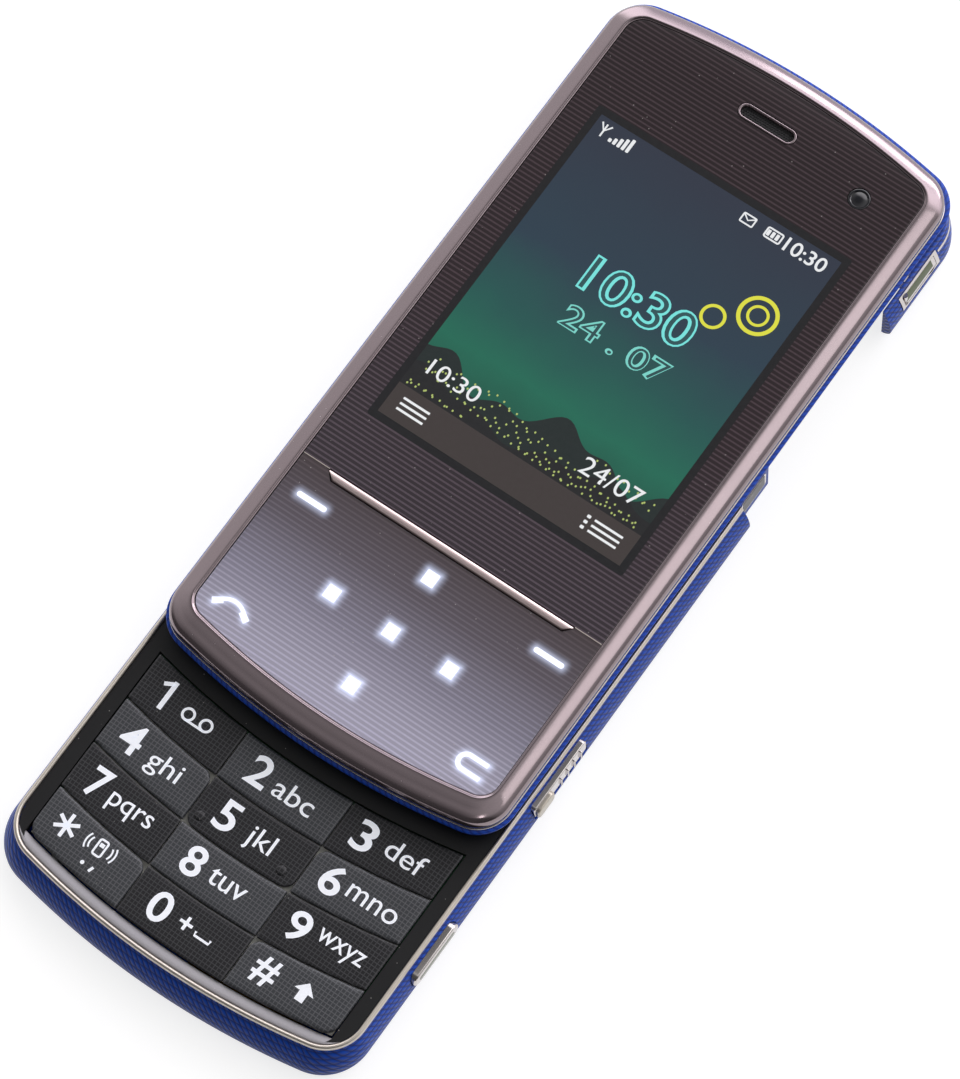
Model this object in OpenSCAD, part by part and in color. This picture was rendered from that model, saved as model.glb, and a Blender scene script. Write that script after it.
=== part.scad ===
// Slider phone, slid open. It lies on its back: +Z out of the front, +Y towards the earpiece, +X to the
// right of someone looking at the screen. The origin is the middle of the lower half's back face.
// Lower-half pieces are drawn in that frame. Upper-half pieces are drawn about the middle of the upper
// half and placed by on_slider().

/* [Whole phone] */
// Width of the casing at its widest
phone_w = 50; // [49.4:0.1:51]
// Length with the slide closed
phone_l = 104.3; // [103.5:0.1:105.5]
// Thickness with the slide closed
phone_t = 10.9; // [10.8:0.05:11.6]
// How far the upper half slides
travel = 29; // [28:0.25:29.5]
// Radius of the bowed ends
end_r = 106; // [95:1:130]

/* [Lower half] */
// Height of the lower half without its bead
casing_h = 5.45; // [5.4:0.05:5.6]
// Height of the widest line of the casing
wide_z = 1.8; // [1.6:0.1:2.2]
// How far the sides lean in from the widest line to the bead
side_lean = 0.95; // [0.85:0.05:1.1]
// How far the bottom end leans in from the widest line to the bead
end_lean = 2; // [1.6:0.1:2.2]
// Radius of the rounding towards the back
back_round = 2.2; // [1.8:0.1:2.6]
// Corner radius at the widest line
corner_r = 6.2; // [5.8:0.1:6.8]
// Thickness of the side walls
wall = 1.2; // [1.1:0.05:1.4]
// Thickness of the back
floor_t = 0.9; // [0.85:0.05:1]
// Width of the chrome bead
bead_w = 0.6; // [0.5:0.05:0.7]
// Height of the chrome bead
bead_h = 0.65; // [0.5:0.05:0.7]

/* [Head and shoulders] */
// Length of the full-depth head behind its inner wall
head_l = 13.3; // [12.5:0.1:13.8]
// Length of the head's cheeks, which pass beside the shoulders
cheek_l = 5.85; // [5:0.05:6.5]
// Thickness of a cheek
cheek_t = 1.2; // [1.1:0.05:1.3]
// Clearance between the two halves
half_gap = 0.3; // [0.25:0.05:0.35]

/* [Keypad] */
// Distance from the casing's widest side to the keypad
keypad_side = 3.5; // [3.4:0.05:4]
// Width of the middle column
mid_col_w = 15; // [14:0.1:16]
// Pitch of the rows
row_pitch = 6.43; // [6.3:0.01:6.45]
// Gap between neighbouring keys
key_gap = 0.14; // [0.1:0.02:0.2]
// Width of the chin strip below the keys
chin_w = 1.6; // [1.4:0.1:1.8]
// Travel of a key
key_travel = 0.25; // [0.2:0.01:0.27]
// Radius of the rounded corners of the raised keys
key_r = 1.5; // [1:0.1:2]
// Height of a sunk key's face above the lower half's deck
key_stand = 0.15; // [0.1:0.01:0.2]
// Extra height of a raised key
key_raise = 0.12; // [0.08:0.01:0.14]

/* [Upper half] */
// Gap between the lower half's bead and the upper half's underside
slide_gap = 0.3; // [0.25:0.05:0.35]
// Inset of the upper half from the widest line, at the sides
slider_inset = 1.55; // [1.5:0.05:1.8]
// Inset of the upper half from the closed phone's bottom end
chin_inset = 3.2; // [3.1:0.05:3.4]
// Inset of the upper half from the closed phone's top end
crown_inset = 0.9; // [0.85:0.05:1.1]
// Corner radius of the upper half
slider_r = 4.6; // [4:0.1:5.2]
// Width of the frame at the sides
frame_w = 2.4; // [2.3:0.05:2.6]
// Width of the frame at the top
frame_top_w = 2.25; // [2.1:0.05:2.5]
// Width of the frame at the bottom
frame_chin_w = 3.4; // [3.2:0.05:3.6]
// Height of the dark band under the frame
band_h = 1.9; // [1.8:0.05:2]
// How far the band's rim stands out from the frame at its sides and lower end
rim_out = 0.45; // [0.3:0.05:0.6]
// How far the band's rim stands out from the frame at its upper end
rim_crown = 0.8; // [0.6:0.05:0.85]
// Wall of the band and of the frame around the inner pieces
slider_wall = 1.2; // [1.1:0.05:1.25]
// Thickness of the window
window_t = 0.85; // [0.8:0.05:0.95]
// How far the window lies below the frame's crest
window_drop = 0.25; // [0.2:0.05:0.3]

/* [Display and touch panel] */
// Distance from the window's sides to the lit picture
screen_side = 4; // [3.8:0.1:5]
// Height of the lit picture
screen_h = 45.7; // [44:0.1:46]
// Height of the picture's middle above the middle of the upper half
screen_y = 9.85; // [9.5:0.05:10]
// Height of the window's straight lower edge, below the middle of the upper half
split_y = 22; // [21.5:0.1:22.2]
// Length of the end key
end_key_l = 34.4; // [32:0.1:36]
// Width of the end key
end_key_w = 1.15; // [1:0.05:1.3]
// Travel of the end key
end_key_travel = 0.25; // [0.2:0.01:0.3]
// Side of a lit square on the touch panel
mark = 2; // [1.6:0.1:2.4]
// Distance from the middle square to the one beside it
mark_pitch = 8.2; // [7.5:0.1:9]
// Distance from the touch panel's ends to the middles of the outer marks
mark_margin = 4.55; // [4.2:0.05:4.9]

/* [Earpiece, lens and camera] */
// Length of the earpiece slot
ear_l = 8; // [7:0.1:9]
// Height of the earpiece slot
ear_h = 2.1; // [1.8:0.1:2.4]
// Diameter of the front lens
lens_d = 2.7; // [2.2:0.1:3.2]
// Diameter of the camera's ring
camera_d = 8.6; // [7.5:0.1:9]
// Diameter of the flash window
flash_d = 3.2; // [2.4:0.1:3.6]

/* [Side parts] */
// Length of the rocker
rocker_l = 10.3; // [9:0.1:11]
// Height of the rocker
rocker_h = 2.6; // [2.2:0.1:2.8]
// Length of the long side key
side_key_l = 8.6; // [7:0.1:10]
// Height of the long side key
side_key_h = 2.4; // [2:0.1:2.6]
// Length of the side door
door_l = 6.4; // [6:0.1:6.8]
// Height of the side door
door_h = 1.8; // [1.6:0.1:2]
// Thickness of the side door
door_t = 0.7; // [0.6:0.05:0.75]

/* [Insides] */
// Room above the battery for the cards and the loudspeaker
cards_room = 29.4; // [29:0.2:33]
// Room below the battery for its contacts and the vibration motor
motor_room = 15.3; // [15:0.1:18]
// Distance from the casing's widest side to the battery cover
cover_side = 4.1; // [4:0.1:5.1]
// Width of the casing's ledge between the battery and the cover's edge
battery_side = 2.5; // [2.2:0.1:3.5]
// Thickness of the battery
battery_t = 3; // [2.6:0.1:3.05]
// Thickness of the main board
board_t = 0.5; // [0.4:0.05:0.55]
// Length of the card socket for the subscriber's card
sim_l = 26; // [25.6:0.1:27]
// Width of the socket for the memory card
memory_w = 12; // [11.8:0.1:13]
// Diameter of the vibration motor
motor_d = 3; // [2.6:0.1:3]
// Radius of a screw's thread
screw_r = 0.62; // [0.5:0.02:0.64]

/* [Hidden] */
$fn = 48;

// Clearances
fit = 0.06;
seam = 0.1;
eps = 0.02;

// Lower half
y_bot = -(phone_l - head_l - half_gap) / 2;
y_top = -y_bot;
half_w = phone_w / 2;
bead_hw = half_w - side_lean;
deck_hw = bead_hw - bead_w;
inner_hw = bead_hw - wall;
bead_top = casing_h + bead_h;
deck_z = casing_h + 0.3;
deck_t = 1;
deck_floor = 0.35;
shoulder_y = y_top - cheek_l - half_gap;
shoulder_hw = half_w - cheek_t - 0.1 - half_gap;
board_z = deck_z - deck_t - board_t - 0.05;
mat_t = 0.15;
nub_h = 0.1;

// Upper half
z0 = bead_top + slide_gap;
slider_l = phone_l - chin_inset - crown_inset;
slider_hl = slider_l / 2;
slider_hw = half_w - slider_inset;
slider_mid = y_bot + chin_inset + slider_hl;
window_hw = slider_hw - frame_w;
window_yt = slider_hl - frame_top_w;
window_yb = -slider_hl + frame_chin_w;
window_r = 2.5;
window_z = phone_t - window_drop;
window_z0 = window_z - window_t;
frame_z = z0 + band_h;
plate_t = 0.5;
core_hw = slider_hw - slider_wall;
core_yb = -slider_hl + slider_wall;
core_r = slider_r - slider_wall;
head_top = slider_hl + crown_inset;
head_wall_y = head_top - head_l;
cheek_y = head_wall_y - cheek_l;
head_z = 0.25;
tray_t = 0.8;
tray_z = window_z0 - tray_t;

// Keypad
keypad_w = phone_w - 2 * keypad_side;
keypad_yb = y_bot + end_lean + bead_w + chin_w;
col_x = [-keypad_w / 2, -mid_col_w / 2, mid_col_w / 2, keypad_w / 2];
key_z0 = board_z + board_t + mat_t + nub_h + key_travel + eps;
key_floor = key_z0 + 0.25;
arm_z = key_floor - key_travel - 0.1;
dark_top = deck_z + key_stand;
light_top = dark_top + key_raise;
keypad_yt = keypad_yb + 4 * row_pitch;

// Slide rails
bay_yb = keypad_yt + 5.9;
bay_yt = y_top - wall - 1;
rail_side = 2.85;
rail_hw = deck_hw - rail_side;
bay_hw = rail_hw + 0.3;
rail_end = 0.1;
rail_t = 0.3;
rail_z = deck_z - deck_t + deck_floor;
rail_lip_w = 1.5;
tongue_t = 0.36;
tongue_z = rail_z + rail_t + fit;
lip_z = tongue_z + tongue_t + fit;
carriage_l = bay_yt - bay_yb - travel - 2 * rail_end - 1;
carriage_yt = bay_yt - rail_end - 0.5 - slider_mid - travel;

// Side parts, measured from the lower half's middle
rocker_y = y_bot + 46.15;
rocker_z = 3.5;
side_key_y = y_bot + 21.2;
side_key_z = 3.4;
key_proud = 0.45;
door_y = head_wall_y + 0.7;
door_z = 3.9;
door_face = side_x(door_z) + 0.1;
door_pivot_y = door_y - door_l / 2 + door_t / 2;
door_rim_l = 0.65;
door_rim_h = 0.45;
jack_r = 0.85;
jack_y = head_wall_y + wall + 1.7;

// Insides
head_r = 2 * screw_r;
head_t = 0.65;
screw_head_z = floor_t + 0.05;
screw_top = deck_z - deck_t - 0.05;
post_top = 2.6;
post_r = head_r + 0.5;
ledge_z = floor_t + 0.45;
ledge_w = 2;
cover_w = phone_w - 2 * cover_side;
battery_gap = 0.4;
battery_w = cover_w - 2 * battery_side - 2 * battery_gap;
battery_l = y_top - y_bot - cards_room - motor_room;
battery_y = y_bot + motor_room + battery_l / 2;
battery_z = floor_t + seam;
cover_y = y_top - 9.8;
card_y = y_top - cards_room + 9.3;
card_gap = 1;
card_rim = 0.7;
card_wall = 0.22;
card_fit = 0.05;
socket_w = 16;
sim_h = 1.3;
memory_h = 1.5;
sim_x = -(sim_l + card_gap + memory_w) / 2;
memory_x = sim_x + sim_l + card_gap;
screw_spots = [for (s = [-1, 1])
  each [[s * (inner_hw - 2.65), y_top - 7.6], [s * (inner_hw - 3.15), y_bot + 10.4]]];
slider_screw_spots = [for (s = [-1, 1])
  each [[s * (core_hw - 2.85), slider_hl - 19.1], [s * (core_hw - 3.85), 4.9 - slider_hl]]];
speaker_y = y_top - 5.1;
speaker_l = 14;
motor_x = -12;
motor_y = y_bot + 7.2;
motor_z = floor_t + motor_d / 2 + seam;
motor_l = 8;
motor_shaft_r = 0.4;
spring_floor = 0.3;
spring_wire = 0.4;
spring_r = 3.6;
spring_x = 4.4;
pivot_r = 0.35;
pivot_x = inner_hw - 0.5;
ear_t = 0.5;
ear_z = rocker_z - rocker_h / 2 - 0.2 - ear_t;

// Behind the window
screen_w = 2 * (window_hw - screen_side);
tray_well = 0.25;
ear_y = window_yt - 5.2;
lens_x = window_hw - 6.7;
lens_y = window_yt - 7.2;
mark_y = (window_yb - split_y) / 2;
mark_rise = -(split_y + window_yb) / 2 - mark_margin;
mark_spots = [[0, mark_y], [mark_pitch, mark_y], [-mark_pitch, mark_y],
  [0, mark_y + mark_rise], [0, mark_y - mark_rise]];
side_mark_l = 4.4;
side_mark_x = window_hw - 4.3;
side_mark_spots = [for (sx = [-1, 1], sy = [-1, 1]) [sx * side_mark_x, mark_y + sy * mark_rise]];
camera_x = -7;
camera_y = head_top - 7.2;
flash_x = camera_x + camera_d / 2 + flash_d / 2 + 1.4;

// ---- Outlines -------------------------------------------------------------------------------------

// Points of an arc about [cx, cy]
function arc(cx, cy, r, a0, a1, n) =
  [for (i = [0:n]) [cx + r * cos(a0 + (a1 - a0) * i / n), cy + r * sin(a0 + (a1 - a0) * i / n)]];

// All but the first and last of a list
function middle(list) = [for (i = [1:len(list) - 2]) list[i]];

// Height of a corner arc's centre above the middle of a bowed end of radius rr
function corner_rise(rr, hw, r) = sqrt(pow(rr - r, 2) - pow(hw - r, 2));

// A plate outline with straight sides at -hw and hw, bowed ends at yb and yt, and round corners
function bowed(hw, yb, yt, rb, rt, cb, ct, na = 12, nc = 5) =
  let (kt = corner_rise(rt, hw, ct), kb = corner_rise(rb, hw, cb),
       at = atan2(kt, hw - ct), ab = atan2(kb, hw - cb))
  concat(
    arc(hw - cb, yb + rb - kb, cb, -ab, 0, nc),
    arc(hw - ct, yt - rt + kt, ct, 0, at, nc),
    middle(arc(0, yt - rt, rt, at, 180 - at, na)),
    arc(ct - hw, yt - rt + kt, ct, 180 - at, 180, nc),
    arc(cb - hw, yb + rb - kb, cb, 180, 180 + ab, nc),
    middle(arc(0, yb + rb, rb, 180 + ab, 360 - ab, na)));

// The closed phone's lower outline, drawn in by side, bottom and top insets
function lower_outline(side, bottom, top) =
  bowed(half_w - side, y_bot + bottom, y_bot + phone_l - top, end_r - bottom, end_r - top,
    corner_r - side, corner_r - side);

// The upper half's outline, drawn in by d
function slider_outline(d) =
  bowed(slider_hw - d, -slider_hl + d, slider_hl - d, end_r - d, end_r - d, slider_r - d, slider_r - d);

// The side band's outline, drawn in by d from its rim
function band_outline(d) =
  bowed(slider_hw + rim_out - d, -slider_hl - rim_out + d, slider_hl + rim_crown - d, end_r - d, end_r - d,
    slider_r + rim_out - d, slider_r + rim_out - d);

// The opening for the window and the touch panel, drawn in by d
function window_outline(d) =
  let (rr = end_r - 4 - d, r = window_r - d)
  bowed(window_hw - d, window_yb + d, window_yt - d, rr, rr, r, r);

// ---- Solids ---------------------------------------------------------------------------------------

// A closed solid through rings of equally many points, lowest ring first
module loft(rings) {
  n = len(rings[0]);
  m = len(rings);
  polyhedron(
    points = [for (r = rings) each r],
    faces = concat(
      [[for (i = [0:n - 1]) i]],
      [[for (i = [n - 1:-1:0]) (m - 1) * n + i]],
      [for (j = [0:m - 2], i = [0:n - 1]) let (a = j * n + i, b = j * n + (i + 1) % n) [a, a + n, b + n]],
      [for (j = [0:m - 2], i = [0:n - 1]) let (a = j * n + i, b = j * n + (i + 1) % n) [a, b + n, b]]));
}

// The same points at height z
function at_z(pts, z) = [for (p = pts) [p[0], p[1], z]];

// A plate of an outline between two heights
module slab(pts, z_low, z_high) {
  translate([0, 0, z_low]) linear_extrude(z_high - z_low) polygon(pts);
}

// A box given by its low and high corners
module box(low, high) {
  translate(low) cube(high - low);
}

// A slot-shaped plate along X with round ends
module stadium(l, h, t) {
  r = h / 2;
  for (s = [-1, 1]) translate([s * (l / 2 - r), 0, 0]) cylinder(h = t, r = r);
  translate([-(l / 2 - r), -r, 0]) cube([l - h, h, t]);
}

// Places an upper-half piece with the slide open
module on_slider() {
  translate([0, slider_mid + travel, 0]) children();
}

// ---- Lower half -----------------------------------------------------------------------------------

// Rings of the lower body's skin from z_low to the bead: rounded below the widest line, leaning above
function skin_rings(z_low, z_high, inset = 0) =
  let (a0 = acos(1 - min(1, (z_low) / wide_z)))
  concat(
    [for (i = [0:5]) let (a = a0 + (90 - a0) * i / 5, d = back_round * (1 - sin(a)) + inset)
      at_z(lower_outline(d, d, d), wide_z * (1 - cos(a)))],
    [for (i = [1:4])
      let (z = wide_z + (z_high - wide_z) * i / 4, t = pow((z - wide_z) / (casing_h - wide_z), 2))
      at_z(lower_outline(side_lean * t + inset, end_lean * t + inset, 0.3 * t + inset), z)]);

// The room inside the walls, drawn in by d
module cavity(z_low, z_high, d) {
  intersection() {
    slab(bowed(inner_hw - d, y_bot + end_lean + wall + d, y_bot + phone_l, end_r - 3, end_r,
      corner_r - side_lean - wall, corner_r), z_low, z_high);
    box([-half_w, y_bot, z_low - 1], [half_w, y_top - wall, z_high + 1]);
  }
}

// The gap that the battery cover fills, with grooves for its two tongues
module cover_space(clear) {
  hw = cover_w / 2 + clear;
  box([-hw, y_bot - 1, -1], [hw, cover_y + clear, floor_t - seam + clear]);
  box([-hw - 0.7, y_bot - 1, 0.4 - clear], [hw + 0.7, cover_y + clear, floor_t - seam + clear]);
}

// Slots in the right wall for the side keys
module side_openings() {
  box([inner_hw - 1, rocker_y - rocker_l / 2 - seam, rocker_z - rocker_h / 2 - seam],
      [half_w + 1, rocker_y + rocker_l / 2 + seam, rocker_z + rocker_h / 2 + seam]);
  box([inner_hw - 1, side_key_y - side_key_l / 2 - seam, side_key_z - side_key_h / 2 - seam],
      [half_w + 1, side_key_y + side_key_l / 2 + seam, side_key_z + side_key_h / 2 + seam]);
}

module rear_casing() {
  color("royalblue") {
    difference() {
      loft(skin_rings(0, casing_h));
      // Everything past the lower half's upper end belongs to the head
      box([-half_w - 1, y_top, -1], [half_w + 1, phone_l, casing_h + 1]);
      // Shoulders beside which the head's cheeks pass
      for (s = [-1, 1])
        box([s > 0 ? shoulder_hw : -half_w - 1, shoulder_y, -1],
            [s > 0 ? half_w + 1 : -shoulder_hw, y_top + 1, casing_h + 1]);
      // Cavity, with a thicker floor over the battery cover
      difference() {
        cavity(floor_t, casing_h + 1, 0);
        box([-cover_w / 2 - ledge_w, y_bot, 0], [cover_w / 2 + ledge_w, cover_y + 1, ledge_z]);
      }
      cover_space(fit);
      // Battery bay, cards and contacts are reached from the back
      box([-battery_w / 2 - battery_gap, battery_y - battery_l / 2 - 4, -1],
          [battery_w / 2 + battery_gap, cover_y - 1, ledge_z + 1]);
      // The vibration motor hangs through the thick floor
      box([motor_x - 3.6, motor_y - motor_d / 2 - 0.1, floor_t - 0.3],
          [motor_x + motor_l + 0.3, motor_y + motor_d / 2 + 0.1, ledge_z + 1]);
      side_openings();
      speaker_slots();
      for (p = screw_spots) translate([p[0], p[1], -1]) cylinder(h = casing_h, r = head_r + 0.15);
    }
    // Screw posts, counterbored for the heads
    for (p = screw_spots) translate([p[0], p[1], floor_t - eps]) difference() {
      cylinder(h = post_top - floor_t + eps, r = post_r);
      translate([0, 0, -1]) cylinder(h = casing_h, r = screw_r + 0.12);
      translate([0, 0, -1]) cylinder(h = 1 + screw_head_z + head_t - floor_t, r = head_r + 0.15);
    }
    // Ear with the rocker's pivot hole
    difference() {
      box([pivot_x - 0.75, rocker_y - 0.8, ear_z], [inner_hw + eps, rocker_y + 0.8, ear_z + ear_t]);
      translate([pivot_x, rocker_y, 0]) cylinder(h = casing_h, r = pivot_r + fit);
    }
  }
}

// Sound slots for the loudspeaker, in the back above the battery cover
module speaker_slots() {
  for (i = [-2:2]) translate([i * 2.4, speaker_y, -1]) rotate(90) stadium(3.6, 0.9, floor_t + 2);
}

module chrome_bead() {
  color("silver") difference() {
    slab(lower_outline(side_lean, end_lean, 0.3), casing_h, bead_top);
    slab(bowed(deck_hw, y_bot + end_lean + bead_w, y_bot + phone_l, end_r - 2.6, end_r,
      corner_r - side_lean - bead_w, corner_r), casing_h - 1, bead_top + 1);
    box([-half_w, shoulder_y, 0], [half_w, phone_l, bead_top + 1]);
  }
}

// Outline inside the bead, ended at the shoulders' height y
module deck_shape(clear, z_low, z_high) {
  intersection() {
    slab(bowed(deck_hw - clear, y_bot + end_lean + bead_w + clear, y_bot + phone_l,
      end_r - 2.6 - clear, end_r, corner_r - side_lean - bead_w - clear, corner_r), z_low, z_high);
    box([-shoulder_hw, y_bot, z_low - 1], [shoulder_hw, y_top - wall, z_high + 1]);
  }
}

// Rise of the rows' bowed lines at x
function bow(x) = x * x / (2 * end_r);

// Points along a bowed line of the keypad, from x0 to x1, whose lowest point is at y
function bow_line(x0, x1, y, n = 12) =
  [for (i = [0:n]) let (x = x0 + (x1 - x0) * i / n) [x, y + bow(x)]];

// The keypad and chin opening, drawn in by d: bowed alike above and below, round at the lower corners
function keypad_outline(d) =
  let (hw = keypad_w / 2 + 0.15 - d, y0 = keypad_yb - chin_w + 0.35 + d, r = 2 - d)
  concat(
    bow_line(r - hw, hw - r, y0),
    middle(arc(hw - r, y0 + bow(hw - r) + r, r, -90, 0, 5)),
    bow_line(hw, -hw, keypad_yt + 0.15 - d),
    middle(arc(r - hw, y0 + bow(hw - r) + r, r, 180, 270, 5)));

// Everything above a bowed line at y
module above_bow(y, z_low, z_high) {
  slab(concat(bow_line(-half_w, half_w, y), [[half_w, phone_l], [-half_w, phone_l]]), z_low, z_high);
}

module keypad_bezel() {
  color([0.07, 0.07, 0.08]) {
    difference() {
      union() {
        deck_shape(fit, casing_h, deck_z);
        intersection() {
          deck_shape(fit, deck_z - deck_t, casing_h + eps);
          cavity(0, casing_h + 1, fit);
        }
      }
      slab(keypad_outline(0), 0, deck_z + 1);
      box([-bay_hw, bay_yb, rail_z], [bay_hw, bay_yt, deck_z + 1]);
      for (p = screw_spots) translate([p[0], p[1], 0]) cylinder(h = screw_top + 0.1, r = screw_r + fit);
      side_key_room();
    }
    // Posts that take the screws, the lower two on arms between the mat and the keys
    for (p = screw_spots) difference() {
      union() {
        translate([p[0], p[1], post_top + seam])
          cylinder(h = (p[1] > 0 ? rail_z : arm_z) - post_top - seam, r = post_r);
        if (p[1] < 0) {
          x = [abs(p[0]), inner_hw - fit];
          box([p[0] > 0 ? x[0] : -x[1], p[1] - 1, arm_z - 0.22], [p[0] > 0 ? x[1] : -x[0], p[1] + 1, arm_z]);
        }
      }
      translate([p[0], p[1], 0]) cylinder(h = screw_top + 0.1, r = screw_r + fit);
    }
  }
}

// Room in the deck and the board for the inner ends of the two side keys
module side_key_room() {
  for (k = [[rocker_y, rocker_l], [side_key_y, side_key_l + 1.2]])
    box([inner_hw - 0.9, k[0] - k[1] / 2 - seam, 0], [half_w, k[0] + k[1] / 2 + seam, casing_h - 0.3]);
}

module chin_strip() {
  color([0.62, 0.62, 0.64]) difference() {
    union() {
      slab(keypad_outline(fit), casing_h + eps, deck_z - 0.1);
      slab(keypad_outline(wall - bead_w), deck_z - deck_t, casing_h + 2 * eps);
    }
    above_bow(keypad_yb - key_gap / 2, 0, deck_z + 1);
  }
}

module key_mat() {
  color([0.85, 0.85, 0.82]) {
    z = board_z + board_t;
    difference() {
      intersection() {
        slab(keypad_outline(0.4), z, z + mat_t);
        above_bow(keypad_yb + 0.3, z - 1, z + 1);
      }
      for (p = screw_spots) translate([p[0], p[1], 0]) cylinder(h = casing_h, r = post_r + 0.2);
    }
    for (c = [0:2], r = [0:3])
      translate([key_mid(c), key_row_y(c, r), z + mat_t - eps]) cylinder(h = nub_h + eps, r = 1.3);
  }
}

// ---- Keys -----------------------------------------------------------------------------------------

// Middle of a column, and the height of a row's middle there, rows counted from the bottom
function key_mid(c) = (col_x[c] + col_x[c + 1]) / 2;
function key_row_y(c, r) = keypad_yb + row_pitch * (r + 0.5) + bow(key_mid(c));

// One rounded or square corner, [x, y] being the corner and sx, sy the way to its outside
function key_corner(x, y, sx, sy, r) =
  let (a0 = sx > 0 ? (sy > 0 ? 0 : 270) : (sy > 0 ? 90 : 180))
  r < 0.2 ? [[x, y]] : arc(x - sx * r, y - sy * r, r, a0, a0 + 90, 5);

// Outline of a key: corners r are [bottom right, top right, top left, bottom left]
function key_points(c, row, r, g) =
  let (x0 = col_x[c] + g, x1 = col_x[c + 1] - g,
       y0 = keypad_yb + row_pitch * row + g, y1 = keypad_yb + row_pitch * (row + 1) - g, n = 5)
  concat(
    key_corner(x1, y0 + bow(x1 - r[0]), 1, -1, r[0]),
    key_corner(x1, y1 + bow(x1 - r[1]), 1, 1, r[1]),
    [for (i = [1:n - 1]) let (x = x1 - r[1] - (x1 - r[1] - x0 - r[2]) * i / n) [x, y1 + bow(x)]],
    key_corner(x0, y1 + bow(x0 + r[2]), -1, 1, r[2]),
    key_corner(x0, y0 + bow(x0 + r[3]), -1, -1, r[3]),
    [for (i = [1:n - 1]) let (x = x0 + r[3] + (x1 - r[0] - x0 - r[3]) * i / n) [x, y0 + bow(x)]]);

// A key with its plunger. Raised keys stand higher than sunk ones
module pad_key(c, row, raised, r = [0, 0, 0, 0]) {
  color(raised ? [0.2, 0.21, 0.23] : [0.09, 0.09, 0.1]) {
    slab(key_points(c, row, r, key_gap / 2), key_floor, raised ? light_top : dark_top);
    translate([key_mid(c), key_row_y(c, row), key_z0]) cylinder(h = key_floor - key_z0 + eps, r = 1.5);
  }
}

module key_1() { pad_key(0, 3, false); }
module key_2() { pad_key(1, 3, true); }
module key_3() { pad_key(2, 3, false); }
module key_4() { pad_key(0, 2, true, [0, key_r, 0, 0]); }
module key_5() { pad_key(1, 2, false, [key_r, 0, 0, key_r]); }
module key_6() { pad_key(2, 2, true, [0, 0, key_r, 0]); }
module key_7() { pad_key(0, 1, false); }
module key_8() { pad_key(1, 1, true); }
module key_9() { pad_key(2, 1, false); }
module key_star() { pad_key(0, 0, true, [0, key_r, 0, key_r + 0.4]); }
module key_0() { pad_key(1, 0, false); }
module key_hash() { pad_key(2, 0, true, [key_r + 0.4, 0, key_r, 0]); }

// ---- Side keys and slide rails --------------------------------------------------------------------

// Width of the casing's side at height z
function side_x(z) = half_w - side_lean * pow((z - wide_z) / (casing_h - wide_z), 2);

module side_rocker() {
  color("silver") translate([0, rocker_y, 0]) {
    x1 = side_x(rocker_z) + key_proud;
    z_low = rocker_z - rocker_h / 2;
    z_high = rocker_z + rocker_h / 2;
    // Bar with its thumb pad at the lower end
    box([inner_hw - 0.35, -rocker_l / 2, z_low], [x1 - 0.35, rocker_l / 2, z_high]);
    box([x1 - 0.4, -rocker_l / 2, z_low + 0.1], [x1 + 0.2, -rocker_l / 2 + 3.2, z_high - 0.1]);
    // Grip ribs
    for (i = [0:4]) translate([x1 - 0.4, -rocker_l / 2 + 4.4 + i * 1.3, z_low + 0.1])
      cube([0.4, 0.4, rocker_h - 0.2]);
    // Flange behind the wall, and the pin on which it rocks
    box([inner_hw - 0.75, 0.8 - rocker_l / 2, z_low + 0.3],
        [inner_hw - 0.15, rocker_l / 2 - 0.8, z_high - 0.3]);
    translate([pivot_x, 0, ear_z]) cylinder(h = z_high - 0.3 - ear_z, r = pivot_r);
  }
}

module side_key() {
  color("silver") translate([0, side_key_y, 0]) {
    x1 = side_x(side_key_z) + key_proud;
    rotate([90, 0, 90]) translate([0, side_key_z, inner_hw - 0.35]) {
      stadium(side_key_l, side_key_h, x1 - inner_hw + 0.35);
      // Flange that keeps it in the wall
      stadium(side_key_l + 1.2, side_key_h + 0.8, 0.25);
    }
  }
}

// Push switches on the board's edge, behind the rocker's two ends and the long key
module side_switches() {
  color("darkslategray") for (y = [rocker_y - 3.4, rocker_y + 3.4, side_key_y])
    box([inner_hw - 2.7, y - 1.4, 2.4], [inner_hw - 1.1, y + 1.4, board_z]);
}

module slide_rails() {
  color([0.7, 0.7, 0.72]) {
    y0 = bay_yb + rail_end;
    y1 = bay_yt - rail_end;
    box([-rail_hw, y0, rail_z], [rail_hw, y1, rail_z + rail_t]);
    for (s = [-1, 1]) {
      box([s > 0 ? rail_hw - 0.5 : -rail_hw, y0, rail_z + rail_t - eps],
          [s > 0 ? rail_hw : -rail_hw + 0.5, y1, lip_z + rail_t]);
      box([s > 0 ? rail_hw - rail_lip_w : -rail_hw, y0, lip_z],
          [s > 0 ? rail_hw : -rail_hw + rail_lip_w, y1, lip_z + rail_t]);
    }
  }
}

// ---- Inside the lower half ------------------------------------------------------------------------

module main_board() {
  color("darkgreen") difference() {
    intersection() {
      slab(bowed(inner_hw - 0.3, y_bot + 7, y_bot + phone_l, end_r - 3, end_r, 3, corner_r),
        board_z, board_z + board_t);
      box([-half_w, y_bot, 0], [half_w, y_top - wall - 0.4, casing_h]);
    }
    for (p = screw_spots) translate([p[0], p[1], 0]) cylinder(h = casing_h, r = post_r + 0.25);
    side_key_room();
  }
}

module shield_cans() {
  y1 = y_top - wall - 0.6;
  x0 = speaker_l / 2 + 1.6;
  x1 = abs(screw_spots[0][0]);
  color("lightgray") for (s = [0, 1]) mirror([s, 0, 0])
    box([x0, y1 - 7.4, board_z - 1.6], [x1 - post_r - 1.46, y1, board_z]);
}

module battery() {
  color([0.25, 0.26, 0.3]) translate([-battery_w / 2, battery_y - battery_l / 2, battery_z])
    cube([battery_w, battery_l, battery_t]);
}

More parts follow.
